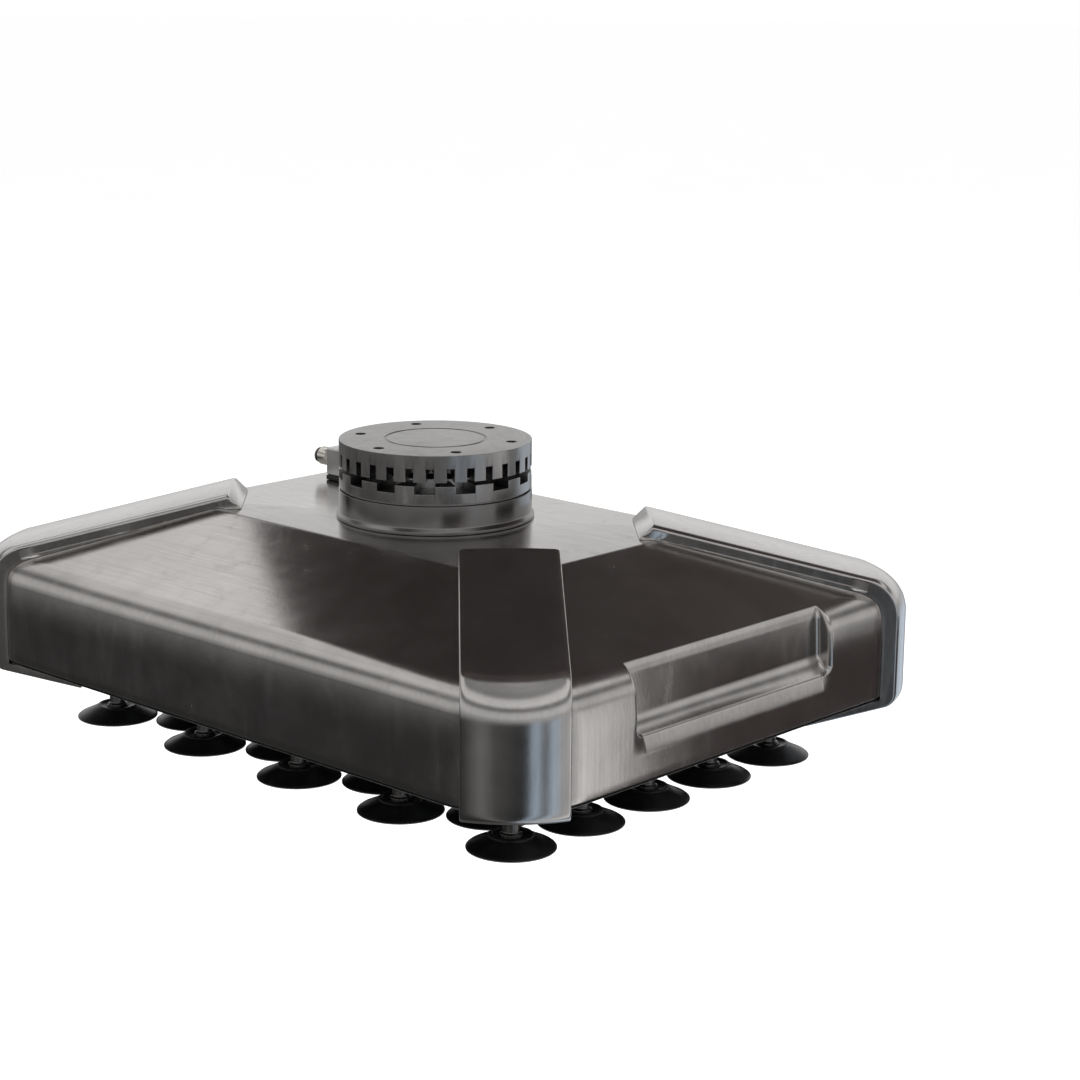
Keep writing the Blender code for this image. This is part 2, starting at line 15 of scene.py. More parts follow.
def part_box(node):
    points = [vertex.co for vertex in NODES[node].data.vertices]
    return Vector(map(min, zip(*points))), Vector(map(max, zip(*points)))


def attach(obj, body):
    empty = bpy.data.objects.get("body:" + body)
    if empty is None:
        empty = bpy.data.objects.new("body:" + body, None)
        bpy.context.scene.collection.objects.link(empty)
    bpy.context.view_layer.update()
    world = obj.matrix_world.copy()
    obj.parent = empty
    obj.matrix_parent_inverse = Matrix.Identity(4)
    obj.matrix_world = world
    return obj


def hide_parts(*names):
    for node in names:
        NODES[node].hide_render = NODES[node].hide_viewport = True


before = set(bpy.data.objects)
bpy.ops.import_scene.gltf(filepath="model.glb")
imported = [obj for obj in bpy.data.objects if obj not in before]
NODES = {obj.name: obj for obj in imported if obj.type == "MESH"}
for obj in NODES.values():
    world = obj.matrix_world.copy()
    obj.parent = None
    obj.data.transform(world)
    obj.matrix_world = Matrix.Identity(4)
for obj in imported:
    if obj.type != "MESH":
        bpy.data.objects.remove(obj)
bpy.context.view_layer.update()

MM = 0.001
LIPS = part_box("suction_cup_a33")[0].z          # plane of the cup lips
COL = bpy.data.collections.new("gripper_looks")
bpy.context.scene.collection.children.link(COL)


def zz(h):
    return LIPS + h * MM


# ============================================================== camera first
cam_data = bpy.data.cameras.new("photo_camera")
cam = bpy.data.objects.new("photo_camera", cam_data)
bpy.context.scene.collection.objects.link(cam)
turn = Matrix((Vector((0.7331, 0.6801, 0.0088)), Vector((-0.1609, 0.1608, 0.9738)),
               Vector((0.6608, -0.7153, 0.2273)))).transposed().to_4x4()
turn.translation = Vector((1.7633, -1.7492, 0.4723))
cam.matrix_world = turn
cam_data.sensor_width = 36.0
cam_data.lens = 82.034
cam_data.clip_start = 0.05
cam_data.clip_end = 200.0
bpy.context.scene.camera = cam

# ================================================================== materials


class Shader:
    """A small helper that builds one node material."""

    def __init__(self, name):
        self.mat = bpy.data.materials.new(name)
        self.mat.use_nodes = True
        self.nt = self.mat.node_tree
        self.nt.nodes.clear()
        self.out = self.add("ShaderNodeOutputMaterial")
        self.bsdf = self.add("ShaderNodeBsdfPrincipled")
        self.link(self.bsdf.outputs[0], self.out.inputs[0])
        self.coord = self.add("ShaderNodeTexCoord").outputs["Object"]

    def add(self, kind, **props):
        node = self.nt.nodes.new(kind)
        for k, v in props.items():
            setattr(node, k, v)
        return node

    def link(self, a, b):
        self.nt.links.new(a, b)

    def value(self, socket, v):
        if hasattr(v, "is_linked") or hasattr(v, "links"):
            self.link(v, socket)
        else:
            socket.default_value = v

    def math(self, op, a, b=None, c=None, clamp=False):
        n = self.add("ShaderNodeMath", operation=op, use_clamp=clamp)
        self.value(n.inputs[0], a)
        if b is not None:
            self.value(n.inputs[1], b)
        if c is not None:
            self.value(n.inputs[2], c)
        return n.outputs[0]

    def stretch(self, sx, sy, sz, rot=(0, 0, 0), source=None):
        n = self.add("ShaderNodeMapping")
        n.inputs["Scale"].default_value = (sx, sy, sz)
        n.inputs["Rotation"].default_value = rot
        self.link(source or self.coord, n.inputs["Vector"])
        return n.outputs[0]

    def noise(self, vec, scale=1.0, detail=3.0, rough=0.55, distortion=0.0):
        n = self.add("ShaderNodeTexNoise")
        n.inputs["Scale"].default_value = scale
        n.inputs["Detail"].default_value = detail
        n.inputs["Roughness"].default_value = rough
        n.inputs["Distortion"].default_value = distortion
        self.link(vec, n.inputs["Vector"])
        return n.outputs[0]

    def ramp(self, fac, stops, interpolation='EASE'):
        n = self.add("ShaderNodeValToRGB")
        n.color_ramp.interpolation = interpolation
        els = n.color_ramp.elements
        while len(els) < len(stops):
            els.new(0.5)
        for e, (p, c) in zip(els, stops):
            e.position = p
            e.color = (*c, 1.0) if hasattr(c, "__len__") else (c, c, c, 1.0)
        self.link(fac, n.inputs[0])
        return n.outputs[0]

    def mix(self, fac, a, b):
        n = self.add("ShaderNodeMix", data_type='RGBA')
        for s, v in ((n.inputs[0], fac), (n.inputs[6], a), (n.inputs[7], b)):
            if isinstance(v, tuple):
                s.default_value = (*v, 1.0)
            else:
                self.value(s, v)
        return n.outputs[2]

    def height(self, parts):
        """Adds weighted fields into one height in metres and bumps with it."""
        total = None
        for field, metres in parts:
            term = self.math('MULTIPLY', field, metres)
            total = term if total is None else self.math('ADD', total, term)
        b = self.add("ShaderNodeBump")
        b.inputs["Strength"].default_value = 1.0
        b.inputs["Distance"].default_value = 1.0
        self.link(total, b.inputs["Height"])
        self.link(b.outputs[0], self.bsdf.inputs["Normal"])

    def finish(self, colour, rough, metallic=0.0, **inputs):
        self.value(self.bsdf.inputs["Base Color"],
                   (*colour, 1.0) if isinstance(colour, tuple) else colour)
        self.value(self.bsdf.inputs["Roughness"], rough)
        self.bsdf.inputs["Metallic"].default_value = metallic
        for k, v in inputs.items():
            self.bsdf.inputs[k.replace("_", " ")].default_value = v
        return self.mat


def brushed(name, base, rough, grain="body", depth=1.0, wave=1.0, wear=0.5,
            swing=0.10, grit=0.2):
    """Brushed, lightly oiled steel.  grain: body, upright, turned or cross."""
    s = Shader(name)
    lift = s.add("ShaderNodeSeparateXYZ")
    if grain == "turned":
        # rings round the axis: fine in radius and height, long round the turn
        sep = s.add("ShaderNodeSeparateXYZ")
        s.link(s.coord, sep.inputs[0])
        r2 = s.math('ADD', s.math('MULTIPLY', sep.outputs[0], sep.outputs[0]),
                    s.math('MULTIPLY', sep.outputs[1], sep.outputs[1]))
        comb = s.add("ShaderNodeCombineXYZ")
        s.link(s.math('MULTIPLY', s.math('SQRT', r2), 1400.0), comb.inputs[0])
        s.link(s.math('MULTIPLY', s.math('ARCTAN2', sep.outputs[1],
                                         sep.outputs[0]), 1.6), comb.inputs[1])
        s.link(s.math('MULTIPLY', sep.outputs[2], 1400.0), comb.inputs[2])
        streak = s.noise(comb.outputs[0], 1.0, 2.0, 0.6)
    else:
        geo = s.add("ShaderNodeNewGeometry")
        s.link(geo.outputs["Normal"], lift.inputs[0])
        flat = s.math('ABSOLUTE', lift.outputs[2])
        sel = s.ramp(flat, ((0.30, 0.0), (0.72, 1.0)))
        up = s.noise(s.stretch(420, 420, 11), 1.0, 3.0, 0.62)
        lng = s.noise(s.stretch(11, 420, 420) if grain != "cross"
                      else s.stretch(420, 11, 420), 1.0, 3.0, 0.62)
        n = s.add("ShaderNodeMix", data_type='FLOAT')
        s.link(sel, n.inputs[0])
        s.link(up, n.inputs[2])
        s.link(lng, n.inputs[3])
        streak = n.outputs[0]
    mottle = s.noise(s.coord, 16.0, 4.0, 0.6, 0.3)
    fine = s.noise(s.coord, 900.0, 2.0, 0.5)
    broad = s.noise(s.coord, 7.0, 2.0, 0.5)
    smear = s.noise(s.stretch(34, 34, 9, (0.3, 0.2, 0.4)), 1.0, 4.0, 0.7, 0.8)
    # roughness: brushing, hand marks, softly changing over the surface
    r = s.math('MULTIPLY_ADD', s.math('SUBTRACT', mottle, 0.5), swing * 1.6, rough)
    r = s.math('MULTIPLY_ADD', s.math('SUBTRACT', streak, 0.5), swing * 1.3, r)
    r = s.math('MULTIPLY_ADD', s.ramp(smear, ((0.52, 0.0), (0.70, 1.0))),
               swing * 0.7, r)
    r = s.math('MAXIMUM', r, 0.12)
    # colour: darker film in patches, lighter on rubbed edges
    lo = tuple(c * 0.90 for c in base)
    hi = tuple(min(1.0, c * 1.06) for c in base)
    col = s.mix(s.ramp(mottle, ((0.30, 0.0), (0.70, 1.0))), lo, hi)
    col = s.mix(s.math('MULTIPLY', s.ramp(streak, ((0.40, 0.0), (0.75, 1.0))), 0.20),
                col, tuple(c * 0.70 for c in base))
    edge = s.add("ShaderNodeNewGeometry").outputs["Pointiness"]
    worn = s.math('MULTIPLY', s.ramp(edge, ((0.515, 0.0), (0.56, 1.0))),
                  s.ramp(smear, ((0.30, 0.25), (0.60, 1.0))))
    col = s.mix(s.math('MULTIPLY', worn, wear), col,
                tuple(min(1.0, c * 1.9 + 0.08) for c in base))
    cast = s.noise(s.stretch(330, 330, 150) if grain in ("body", "cross")
                   else s.stretch(420, 420, 420), 1.0, 4.0, 0.6)
    s.height(((streak, 0.000010 * depth), (fine, 0.0000035 * depth),
              (cast, 0.000042 * grit), (mottle, 0.00009 * wave),
              (broad, 0.00035 * wave)))
    return s.finish(col, r, 1.0)


def rubber(name, base, rough, dust=0.10, lip=None):
    """Moulded rubber; lip is a paler colour painted on the bottom of the rim as a painted
    reflection of the bright floor.
    """
    s = Shader(name)
    grain = s.noise(s.coord, 700.0, 3.0, 0.6)
    patch = s.noise(s.coord, 45.0, 4.0, 0.6, 0.5)
    lines = s.noise(s.stretch(70, 70, 900), 1.0, 2.0, 0.5)
    col = s.mix(s.math('MULTIPLY', s.ramp(patch, ((0.42, 0.0), (0.72, 1.0))), dust),
                base, tuple(c + 0.055 for c in base))
    if lip:
        # painted reflection: the bottom millimetre of the rim takes the paler lip colour
        # in place of the bright floor mirrored in it
        up = s.add("ShaderNodeSeparateXYZ")
        s.link(s.coord, up.inputs[0])
        painted_floor_reflection = s.ramp(s.math('MULTIPLY_ADD', patch, 0.10,
                            s.math('MULTIPLY', up.outputs[2], 500.0)),
                     ((0.30, 1.0), (0.62, 0.0)))
        col = s.mix(painted_floor_reflection, col, lip)
    r = s.math('MULTIPLY_ADD', s.math('SUBTRACT', patch, 0.5), 0.30, rough)
    r = s.math('MULTIPLY_ADD', s.math('SUBTRACT', grain, 0.5), 0.10, r)
    s.height(((grain, 0.00002), (lines, 0.00001), (patch, 0.00008)))
    return s.finish(col, r, 0.0)


def moulded(name, base, rough, speck=0.25):
    """Moulded polymer with a fine spark-eroded grain."""
    s = Shader(name)
    grain = s.noise(s.coord, 1500.0, 3.0, 0.6)
    patch = s.noise(s.coord, 20.0, 3.0, 0.5)
    col = s.mix(s.math('MULTIPLY', s.ramp(patch, ((0.35, 0.0), (0.7, 1.0))), speck),
                base, tuple(c * 1.5 + 0.01 for c in base))
    r = s.math('MULTIPLY_ADD', s.math('SUBTRACT', patch, 0.5), 0.14, rough)
    s.height(((grain, 0.00002), (patch, 0.00005)))
    return s.finish(col, r, 0.0)


BODY = brushed("body_brushed_steel", (0.47, 0.452, 0.438), 0.21, "body",
               depth=0.8, wave=0.45, wear=0.35, swing=0.07, grit=1.0)
GUARD = brushed("guard_brushed_steel", (0.49, 0.474, 0.462), 0.19, "cross",
                depth=0.7, wave=0.5, wear=0.45, swing=0.06, grit=0.8)
PAN = brushed("pan_steel", (0.22, 0.21, 0.20), 0.36, "body", wear=0.4)
COLLAR = brushed("collar_turned_steel", (0.225, 0.217, 0.213), 0.21, "turned",
                 depth=0.22, wave=0.15, wear=0.4, swing=0.05, grit=0.0)
RING = brushed("ring_milled_steel", (0.24, 0.233, 0.228), 0.29, "turned",
               depth=0.30, wave=0.12, wear=0.6, swing=0.06)
HUB = brushed("hub_steel", (0.30, 0.30, 0.30), 0.34, "turned", depth=0.3,
              wave=0.1)
PORT = brushed("port_block_alloy", (0.58, 0.57, 0.56), 0.33, "upright", wave=0.2)
NICKEL = brushed("fitting_nickel", (0.66, 0.63, 0.58), 0.22, "upright", depth=0.3,
                 wave=0.1, wear=0.2, swing=0.05)
STEM = brushed("stem_steel", (0.15, 0.144, 0.14), 0.28, "turned", depth=0.25,
               wave=0.1, wear=0.3, swing=0.06)
SCREW = brushed("screw_black_oxide", (0.07, 0.07, 0.072), 0.34, "turned",
                wave=0.1, wear=0.8)
PLATE = brushed("spring_plate_alloy", (0.52, 0.52, 0.53), 0.38, "body", wave=0.4)
WIRE = brushed("spring_wire", (0.40, 0.40, 0.41), 0.30, "upright", wave=0.0)
# the lip colour is a painted reflection of the pale floor along the bottom of each cup rim
RUBBER = rubber("cup_rubber", (0.0055, 0.0055, 0.006), 0.34,
                lip=(0.15, 0.15, 0.155))
SEAL = rubber("seal_rubber", (0.010, 0.010, 0.010), 0.62)
BUSH = moulded("bush_polymer", (0.030, 0.030, 0.032), 0.42)
EJECTOR = moulded("ejector_polymer", (0.045, 0.047, 0.052), 0.45)
FILTER = moulded("filter_bowl", (0.42, 0.44, 0.44), 0.28)
SENSOR = moulded("sensor_polymer", (0.03, 0.045, 0.075), 0.40)

# ============================================================ piece helpers


def shade(mesh, angle=30.0):
    mesh.shade_smooth()
    mesh.set_sharp_from_angle(angle=math.radians(angle))


def piece(name, mesh, mat, body, replaces=(), angle=30.0, location=None,
          weighted=False):
    if not mesh.get("shaded"):
        shade(mesh, angle)
        mesh["shaded"] = 1
    ob = bpy.data.objects.new(name, mesh)
    COL.objects.link(ob)
    if not mesh.materials:
        mesh.materials.append(mat)
    if location is not None:
        ob.location = location
    if weighted:
        mod = ob.modifiers.new("weights", 'WEIGHTED_NORMAL')
        mod.keep_sharp = True
        mod.weight = 50
    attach(ob, body)
    if replaces:
        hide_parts(*replaces)
    return ob


def new_mesh(name, bm, merge=2e-6, recalc=True):
    if merge:
        bmesh.ops.remove_doubles(bm, verts=bm.verts, dist=merge)
    if recalc:
        bmesh.ops.recalc_face_normals(bm, faces=bm.faces)
    me = bpy.data.meshes.new(name)
    bm.to_mesh(me)
    bm.free()
    return me


def carve(name, mesh, cutters, operation='DIFFERENCE'):
    """The mesh with every cutter mesh taken away, as a new mesh."""
    ob = bpy.data.objects.new(name + "_work", mesh)
    bpy.context.scene.collection.objects.link(ob)
    used = []
    for k, c in enumerate(cutters):
        co = bpy.data.objects.new("%s_cut_%d" % (name, k), c)
        bpy.context.scene.collection.objects.link(co)
        mod = ob.modifiers.new("cut", 'BOOLEAN')
        mod.operation = operation
        mod.object = co
        mod.solver = 'EXACT'
        used.append(co)
    bpy.context.view_layer.update()
    deps = bpy.context.evaluated_depsgraph_get()
    out = bpy.data.meshes.new_from_object(ob.evaluated_get(deps))
    out.name = name
    bpy.data.objects.remove(ob)
    for co in used:
        bpy.data.objects.remove(co)
    return out


def soften(mesh, width, angle=35.0, segments=2, where=None):
    """Rounds the sharp edges of a mesh (those steeper than the angle)."""
    bm = bmesh.new()
    bm.from_mesh(mesh)
    lim = math.radians(angle)
    edges = []
    for e in bm.edges:
        if len(e.link_faces) != 2 or e.calc_face_angle(0.0) < lim:
            continue
        if where is None or where((e.verts[0].co + e.verts[1].co) / 2):
            edges.append(e)
    bmesh.ops.bevel(bm, geom=edges, offset=width * MM, segments=segments,
                    profile=0.5, affect='EDGES', clamp_overlap=False)
    bm.to_mesh(mesh)
    bm.free()
    return mesh


def copies(name, mesh, places):
    """One mesh that holds a copy of another at each place."""
    bm = bmesh.new()
    for m in places:
        start = len(bm.verts)
        bm.from_mesh(mesh)
        bm.verts.ensure_lookup_table()
        bmesh.ops.transform(bm, matrix=m, verts=bm.verts[start:])
    out = bpy.data.meshes.new(name)
    bm.to_mesh(out)
    bm.free()
    return out


def cylinder(bm, x, y, h0, h1, r0, r1=None, sides=32):
    m = Matrix.Translation(Vector((x * MM, y * MM, zz((h0 + h1) / 2))))
    return bmesh.ops.create_cone(bm, cap_ends=True, segments=sides,
                                 radius1=r0 * MM, radius2=(r1 or r0) * MM,
                                 depth=(h1 - h0) * MM, matrix=m)


def block(bm, x0, x1, y0, y1, h0, h1, matrix=None):
    m = (Matrix.Translation(Vector(((x0 + x1) / 2 * MM, (y0 + y1) / 2 * MM,
                                    zz((h0 + h1) / 2))))
         @ Matrix.Diagonal(((x1 - x0) * MM, (y1 - y0) * MM, (h1 - h0) * MM, 1)))
    return bmesh.ops.create_cube(bm, size=1.0, matrix=(matrix @ m) if matrix else m)


def rounded(profile, radius, steps=3, closed=True):
    """A profile in mm with its corners rounded; a point may carry its own radius."""
    pts = []
    n = len(profile)
    for i in range(n):
        p = Vector(profile[i][:2])
        r = profile[i][2] if len(profile[i]) > 2 else radius
        if not closed and i in (0, n - 1):
            pts.append(p)
            continue
        a = Vector(profile[i - 1][:2]) - p
        b = Vector(profile[(i + 1) % n][:2]) - p
        la, lb = a.length, b.length
        if r <= 0 or la < 1e-6 or lb < 1e-6:
            pts.append(p)
            continue
        ang = a.angle(b)
        if ang > math.radians(175):
            pts.append(p)
            continue
        t = min(r / math.tan(ang / 2), 0.45 * la, 0.45 * lb)
        rr = t * math.tan(ang / 2)
        bis = (a.normalized() + b.normalized()).normalized()
        c = p + bis * (rr / math.sin(ang / 2))
        s = p + a.normalized() * t - c
        e = p + b.normalized() * t - c
        for k in range(steps + 1):
            f = k / steps
            v = (s * (1 - f) + e * f) if s.angle(e) < 0.02 else s.slerp(e, f)
            pts.append(c + v.normalized() * rr)
    return pts


def turned(name, profile, segments, radius=0.6, steps=3, centre=(0.0, 0.0),
           base=None, closed=True, about=None):
    """A turned mesh.  The profile runs round the section in (radius, height)."""
    pts = rounded(profile, radius, steps, closed)
    bm = bmesh.new()
    rings = []
    for r, h in pts:
        z = zz(h) if base is None else h * MM
        if r < 1e-4:
            rings.append([bm.verts.new((centre[0] * MM, centre[1] * MM, z))])
            continue
        rings.append([bm.verts.new(
            (centre[0] * MM + r * MM * math.cos(math.tau * k / segments),
             centre[1] * MM + r * MM * math.sin(math.tau * k / segments), z))
            for k in range(segments)])
    pairs = list(zip(rings, rings[1:]))
    if closed:
        pairs.append((rings[-1], rings[0]))
    for a, b in pairs:
        if len(a) == 1 and len(b) == 1:
            continue
        for k in range(segments):
            j = (k + 1) % segments
            if len(a) == 1:
                f = (a[0], b[j], b[k])
            elif len(b) == 1:
                f = (a[k], a[j], b[0])
            else:
                f = (a[k], a[j], b[j], b[k])
            try:
                bm.faces.new(f)
            except ValueError:
                pass
    if about is not None:
        bmesh.ops.transform(bm, matrix=about, verts=bm.verts)
    return new_mesh(name, bm, merge=1e-7)


# ============================================================== body surface
HX, HY, CR = 403.0, 303.0, 91.0
PLATEAU_H, PLX, PLY = 237.5, 240.0, 145.0
EAVE_H, EAVE_R = 177.0, 32.0
BOW_DEG, BOW_H, BOW_END = 6.0, 124.0, 158.2      # gentle lean of the upper wall
BOW_IN_TOP = math.tan(math.radians(BOW_DEG)) * (BOW_END - BOW_H) / 2
BOW_IN = BOW_IN_TOP - EAVE_R * (1 - math.cos(math.radians(BOW_DEG)))
SILL_H, PAN_H, PAN_IN = 72.0, 47.0, 92.0
SEAM_LO, SEAM_HI = 73.2, 76.0


def eave_points(run, steps):
    """Section of one side from wall to roof: inset and height of the fillet.
    It leaves the wall already leaning a little, as the wall bows in below it."""
    turn_ = math.atan2(run, PLATEAU_H - EAVE_H)
    t = EAVE_R * math.tan(turn_ / 2)
    first = math.radians(BOW_DEG)
    out = []
    for k in range(steps + 1):
        a = first + (turn_ - first) * k / steps
        out.append((EAVE_R - EAVE_R * math.cos(a) + BOW_IN,
                    EAVE_H - t + EAVE_R * math.sin(a)))
    return out


def bow(h):
    """How far the upper wall leans in at a height below the fillet."""
    return BOW_IN_TOP * (max(h - BOW_H, 0.0) / (BOW_END - BOW_H)) ** 2


def crest_points(run, radius=16.0, steps=4):
    """The soft crease between roof and plateau."""
    slope = math.atan2(PLATEAU_H - EAVE_H, run)
    t = radius * math.tan(slope / 2)
    out = []
    for k in range(steps + 1):
        a = slope * (1 - k / steps)
        # centre of the crease lies below the plateau edge
        out.append((run + t - radius * math.sin(a),
                    PLATEAU_H - radius + radius * math.cos(a)))
    return out


def section(run, dense):
    """(inset, height) pairs from the bottom rim of the cover to the plateau."""
    rows = [(0.0, 76.0 + 1.4), (0.0, 84.0), (0.0, 92.0), (0.0, 98.0)]
    top = eave_points(run, 40 if dense else 14)
    wall = top[0][1]
    if dense:
        n = 60
        rows += [(bow(99.5 + (wall - 99.5) * k / n),
                  99.5 + (wall - 99.5) * k / n) for k in range(n)]
    else:
        rows += [(bow(h), h) for h in (124.0, 132.0, 140.0, 149.0)]
    rows += top
    i0, h0 = top[-1]
    crest = crest_points(run)
    i1, h1 = crest[0]
    cuts = ([0.012, 0.024, 0.036, 0.05, 0.065, 0.085, 0.12] if dense else []) + \
        [0.25, 0.5, 0.75, 0.92]
    rows += [(i0 + (i1 - i0) * f, h0 + (h1 - h0) * f) for f in cuts]
    rows += crest
    return rows


def lower_section(radius=9.0):
    """(inset, height) from the sill down to the flat underside, as one straight
    slope; used for the full body form."""
    return [(PAN_IN, PAN_H), (PAN_IN * 0.5, PAN_H + (SILL_H - PAN_H) * 0.5),
            (0.0, SILL_H)]


def offset_rows(rows, g):
    """Rows moved outward by g mm along their own normals."""
    out = []
    for k, (i, h) in enumerate(rows):
        a = rows[max(k - 1, 0)]
        b = rows[min(k + 1, len(rows) - 1)]
        d = Vector((b[0] - a[0], b[1] - a[1]))
        if d.length < 1e-9:
            out.append((i, h))
            continue
        d.normalize()
        n = Vector((-d.y, d.x))          # outward: toward negative inset
        out.append((i + n.x * g, h + n.y * g))
    return out


def corner_radius(inset):
    return max(3.0, CR * (1 - max(inset, 0.0) / 34.0)) + (-inset if inset < 0 else 0)


def columns(dense):
    """Places round the outline: side, and how far along it or round a corner."""
    end = [float(v) for v in range(122, 158)] if dense else []
    fine = sorted(set(end + [y + 0.5 for y in end[13:30]])) if dense else []
    half_x = [-1.0] + [-v for v in reversed(fine)] + [-60.0 * 1.0, 60.0] + fine + [1.0]
    cols = []
    for side in range(4):
        if side % 2 == 0:                 # the two short faces, +X and -X
            for v in (half_x if dense else [-1.0, -0.4, 0.4, 1.0]):
                cols.append((side, 'flat', v))
        else:
            for v in (-1.0, -0.6, -0.2, 0.2, 0.6, 1.0):
                cols.append((side, 'flat', v))
        for k in range(1, 18):
            cols.append((side, 'turn', k / 18))
    return cols


def ring(ix, iy, hx_, hy_, cols, pocket=None):
    """One closed outline of the body at given insets and heights."""
    a, b = HX - ix, HY - iy
    r = corner_radius((ix + iy) / 2)
    pts = []
    for side, kind, v in cols:
        ca, cb = a - r, b - r
        if kind == 'flat':
            if side % 2 == 0:
                if abs(v) <= 1.0:
                    y = v * cb
                elif cb >= 165:
                    y = v
                else:
                    y = v * cb / 165.0
                p = Vector((a, y, hx_))
                if abs(v) == 1.0:
                    p.y = v * cb
                if side == 2:
                    p.x, p.y = -p.x, -p.y
                if pocket:
                    p = pocket(p)
            else:
                p = Vector((-v * ca, b, hy_))
                if side == 3:
                    p.x, p.y = -p.x, -p.y
        else:
            ang = v * math.pi / 2
            h = hx_ + (hy_ - hx_) * v if side % 2 == 0 else hy_ + (hx_ - hy_) * v
            base = (math.pi / 2) * side
            cx = ca if side in (0, 3) else -ca
            cy = cb if side in (0, 1) else -cb
            p = Vector((cx + r * math.cos(base + ang), cy + r * math.sin(base + ang), h))
        pts.append(p)
    return pts


def smooth_min(a, b, k):
    d = max(k - abs(a - b), 0.0) / k
    return min(a, b) - d * d * k * 0.25


def smooth_max(a, b, k):
    return -smooth_min(-a, -b, k)


POCKET_NEAR, POCKET_END, POCKET_FAR = 122.0, 143.5, 157.0


def pocket_floor(h):
    """Depth line of the grip pocket: a back that leans in a little toward the
    roof, filleted into a sloping sill."""
    back = 386.6 - max(h - 138.0, 0.0) * 0.045
    if h > 172.0:
        back -= 32.0 - math.sqrt(32.0 ** 2 - (h - 172.0) ** 2)
    sill = 385.8 + (129.0 - h) / 12.0 * 13.0
    return smooth_max(back, sill, 10.0)


def face_roll(y, h):
    """How far the face below the pocket rolls inward toward its sill."""
    s = 1.0 - max(117.0 - h, 0.0) / 17.0
    if s <= 0.0 or h > 137.0 or y > 152.0:
        return 0.0
    side, up = min((152.0 - y) / 26.0, 1.0), min((137.0 - h) / 16.0, 1.0)
    return (4.3 * 1.2 * s * s / (s + 0.2) * side * side * (3.0 - 2.0 * side)
            * up * up * (3.0 - 2.0 * up))


def along(path, t):
    """The point at a fraction of the length of a path."""
    steps = [math.dist(a, b) for a, b in zip(path, path[1:])]
    left = t * sum(steps)
    for k, d in enumerate(steps):
        if left <= d or k == len(steps) - 1:
            f = min(left / max(d, 1e-9), 1.0)
            return (path[k][0] + (path[k + 1][0] - path[k][0]) * f,
                    path[k][1] + (path[k + 1][1] - path[k][1]) * f)
        left -= d


def bend(a, corner, b, steps=8):
    return [((1 - t) ** 2 * a[0] + 2 * t * (1 - t) * corner[0] + t * t * b[0],
             (1 - t) ** 2 * a[1] + 2 * t * (1 - t) * corner[1] + t * t * b[1])
            for t in (k / steps for k in range(steps + 1))]


def pocket_shape(p):
    """Sinks the grip pocket into a short face: a back, a sloping sill and upright
    ends with filleted corners and a rounded rim, open upward through the eave."""
    y, h = abs(p.y), p.z
    if h < 99.0 or h > 186.5 or y > POCKET_FAR:
        return p
    face = abs(p.x)
    deep = smooth_min(face - face_roll(0.0, h), pocket_floor(h), 1.1)
    q = p.copy()
    if y <= POCKET_NEAR:
        q.x = math.copysign(deep, p.x)
        return q
    end = POCKET_END
    if h < 127.0:
        end -= 10.0 - math.sqrt(max(100.0 - (127.0 - h) ** 2, 0.0))
    rim = face - face_roll(end, h)
    d = max(rim - deep, 0.0)
    inner, lip = min(5.0, 0.45 * d), min(5.5, 0.5 * d)
    path = [(POCKET_NEAR, deep)]
    path += bend((end - inner, deep), (end, deep), (end, deep + inner))
    path += bend((end, rim - lip), (end, rim),
                 (end + lip, face - face_roll(end + lip, h)))
    y0 = end + lip
    path += [(y0 + (POCKET_FAR - y0) * k / 12,
              face - face_roll(y0 + (POCKET_FAR - y0) * k / 12, h))
             for k in range(1, 13)]
    py, px = along(path, (y - POCKET_NEAR) / (POCKET_FAR - POCKET_NEAR))
    q.x, q.y = math.copysign(px, p.x), math.copysign(py, p.y)
    return q


def loft(bm, rows_x, rows_y, cols, pocket=None, close=False, flip=False):
    """Quads between outlines; rows are (inset, height) for both directions."""
    rings = []
    for (ix, hx_), (iy, hy_) in zip(rows_x, rows_y):
        pts = ring(ix, iy, hx_, hy_, cols, pocket)
        rings.append([bm.verts.new((p.x * MM, p.y * MM, zz(p.z))) for p in pts])
    skin(bm, rings)
    return rings


def skin(bm, rings):
    for a, b in zip(rings, rings[1:]):
        n = len(a)
        for k in range(n):
            j = (k + 1) % n
            bm.faces.new((a[k], a[j], b[j], b[k]))


def circle_ring(bm, cols, radius, h, like):
    """Vertices on a circle, in the directions of the points of an outline."""
    out = []
    for v in like:
        ang = math.atan2(v.co.y, v.co.x)
        out.append(bm.verts.new((radius * MM * math.cos(ang),
                                 radius * MM * math.sin(ang), zz(h))))
    return out


def cap(bm, ring_):
    bm.faces.new(ring_)


# ---- cover: outer skin, way for the air, inner skin and rim, one closed body
cols = columns(True)
bm = bmesh.new()
rx, ry = section(163.0, True), section(158.0, True)
rim = [(5.0, 76.0), (1.4, 76.0), (0.4, 76.45)]
outer = loft(bm, rim + rx, rim + ry, cols, pocket_shape)
edge = circle_ring(bm, cols, 31.5, PLATEAU_H, outer[-1])
lip = circle_ring(bm, cols, 30.0, PLATEAU_H - 1.5, outer[-1])
low = circle_ring(bm, cols, 30.0, PLATEAU_H - 12.0, outer[-1])
skin(bm, [outer[-1], edge, lip, low])
inner_rows = [(175.0, 225.0), (160.0, 224.0), (38.0, 172.0), (29.5, 160.0),
              (29.0, 150.0), (29.0, 96.0), (29.0, 76.6), (28.0, 76.0), (14.0, 76.0)]
inner_rows_y = [(170.0, 225.0), (155.0, 224.0), (34.0, 172.0), (16.0, 160.0),
                (13.0, 150.0), (13.0, 96.0), (13.0, 76.6), (12.0, 76.0), (9.0, 76.0)]
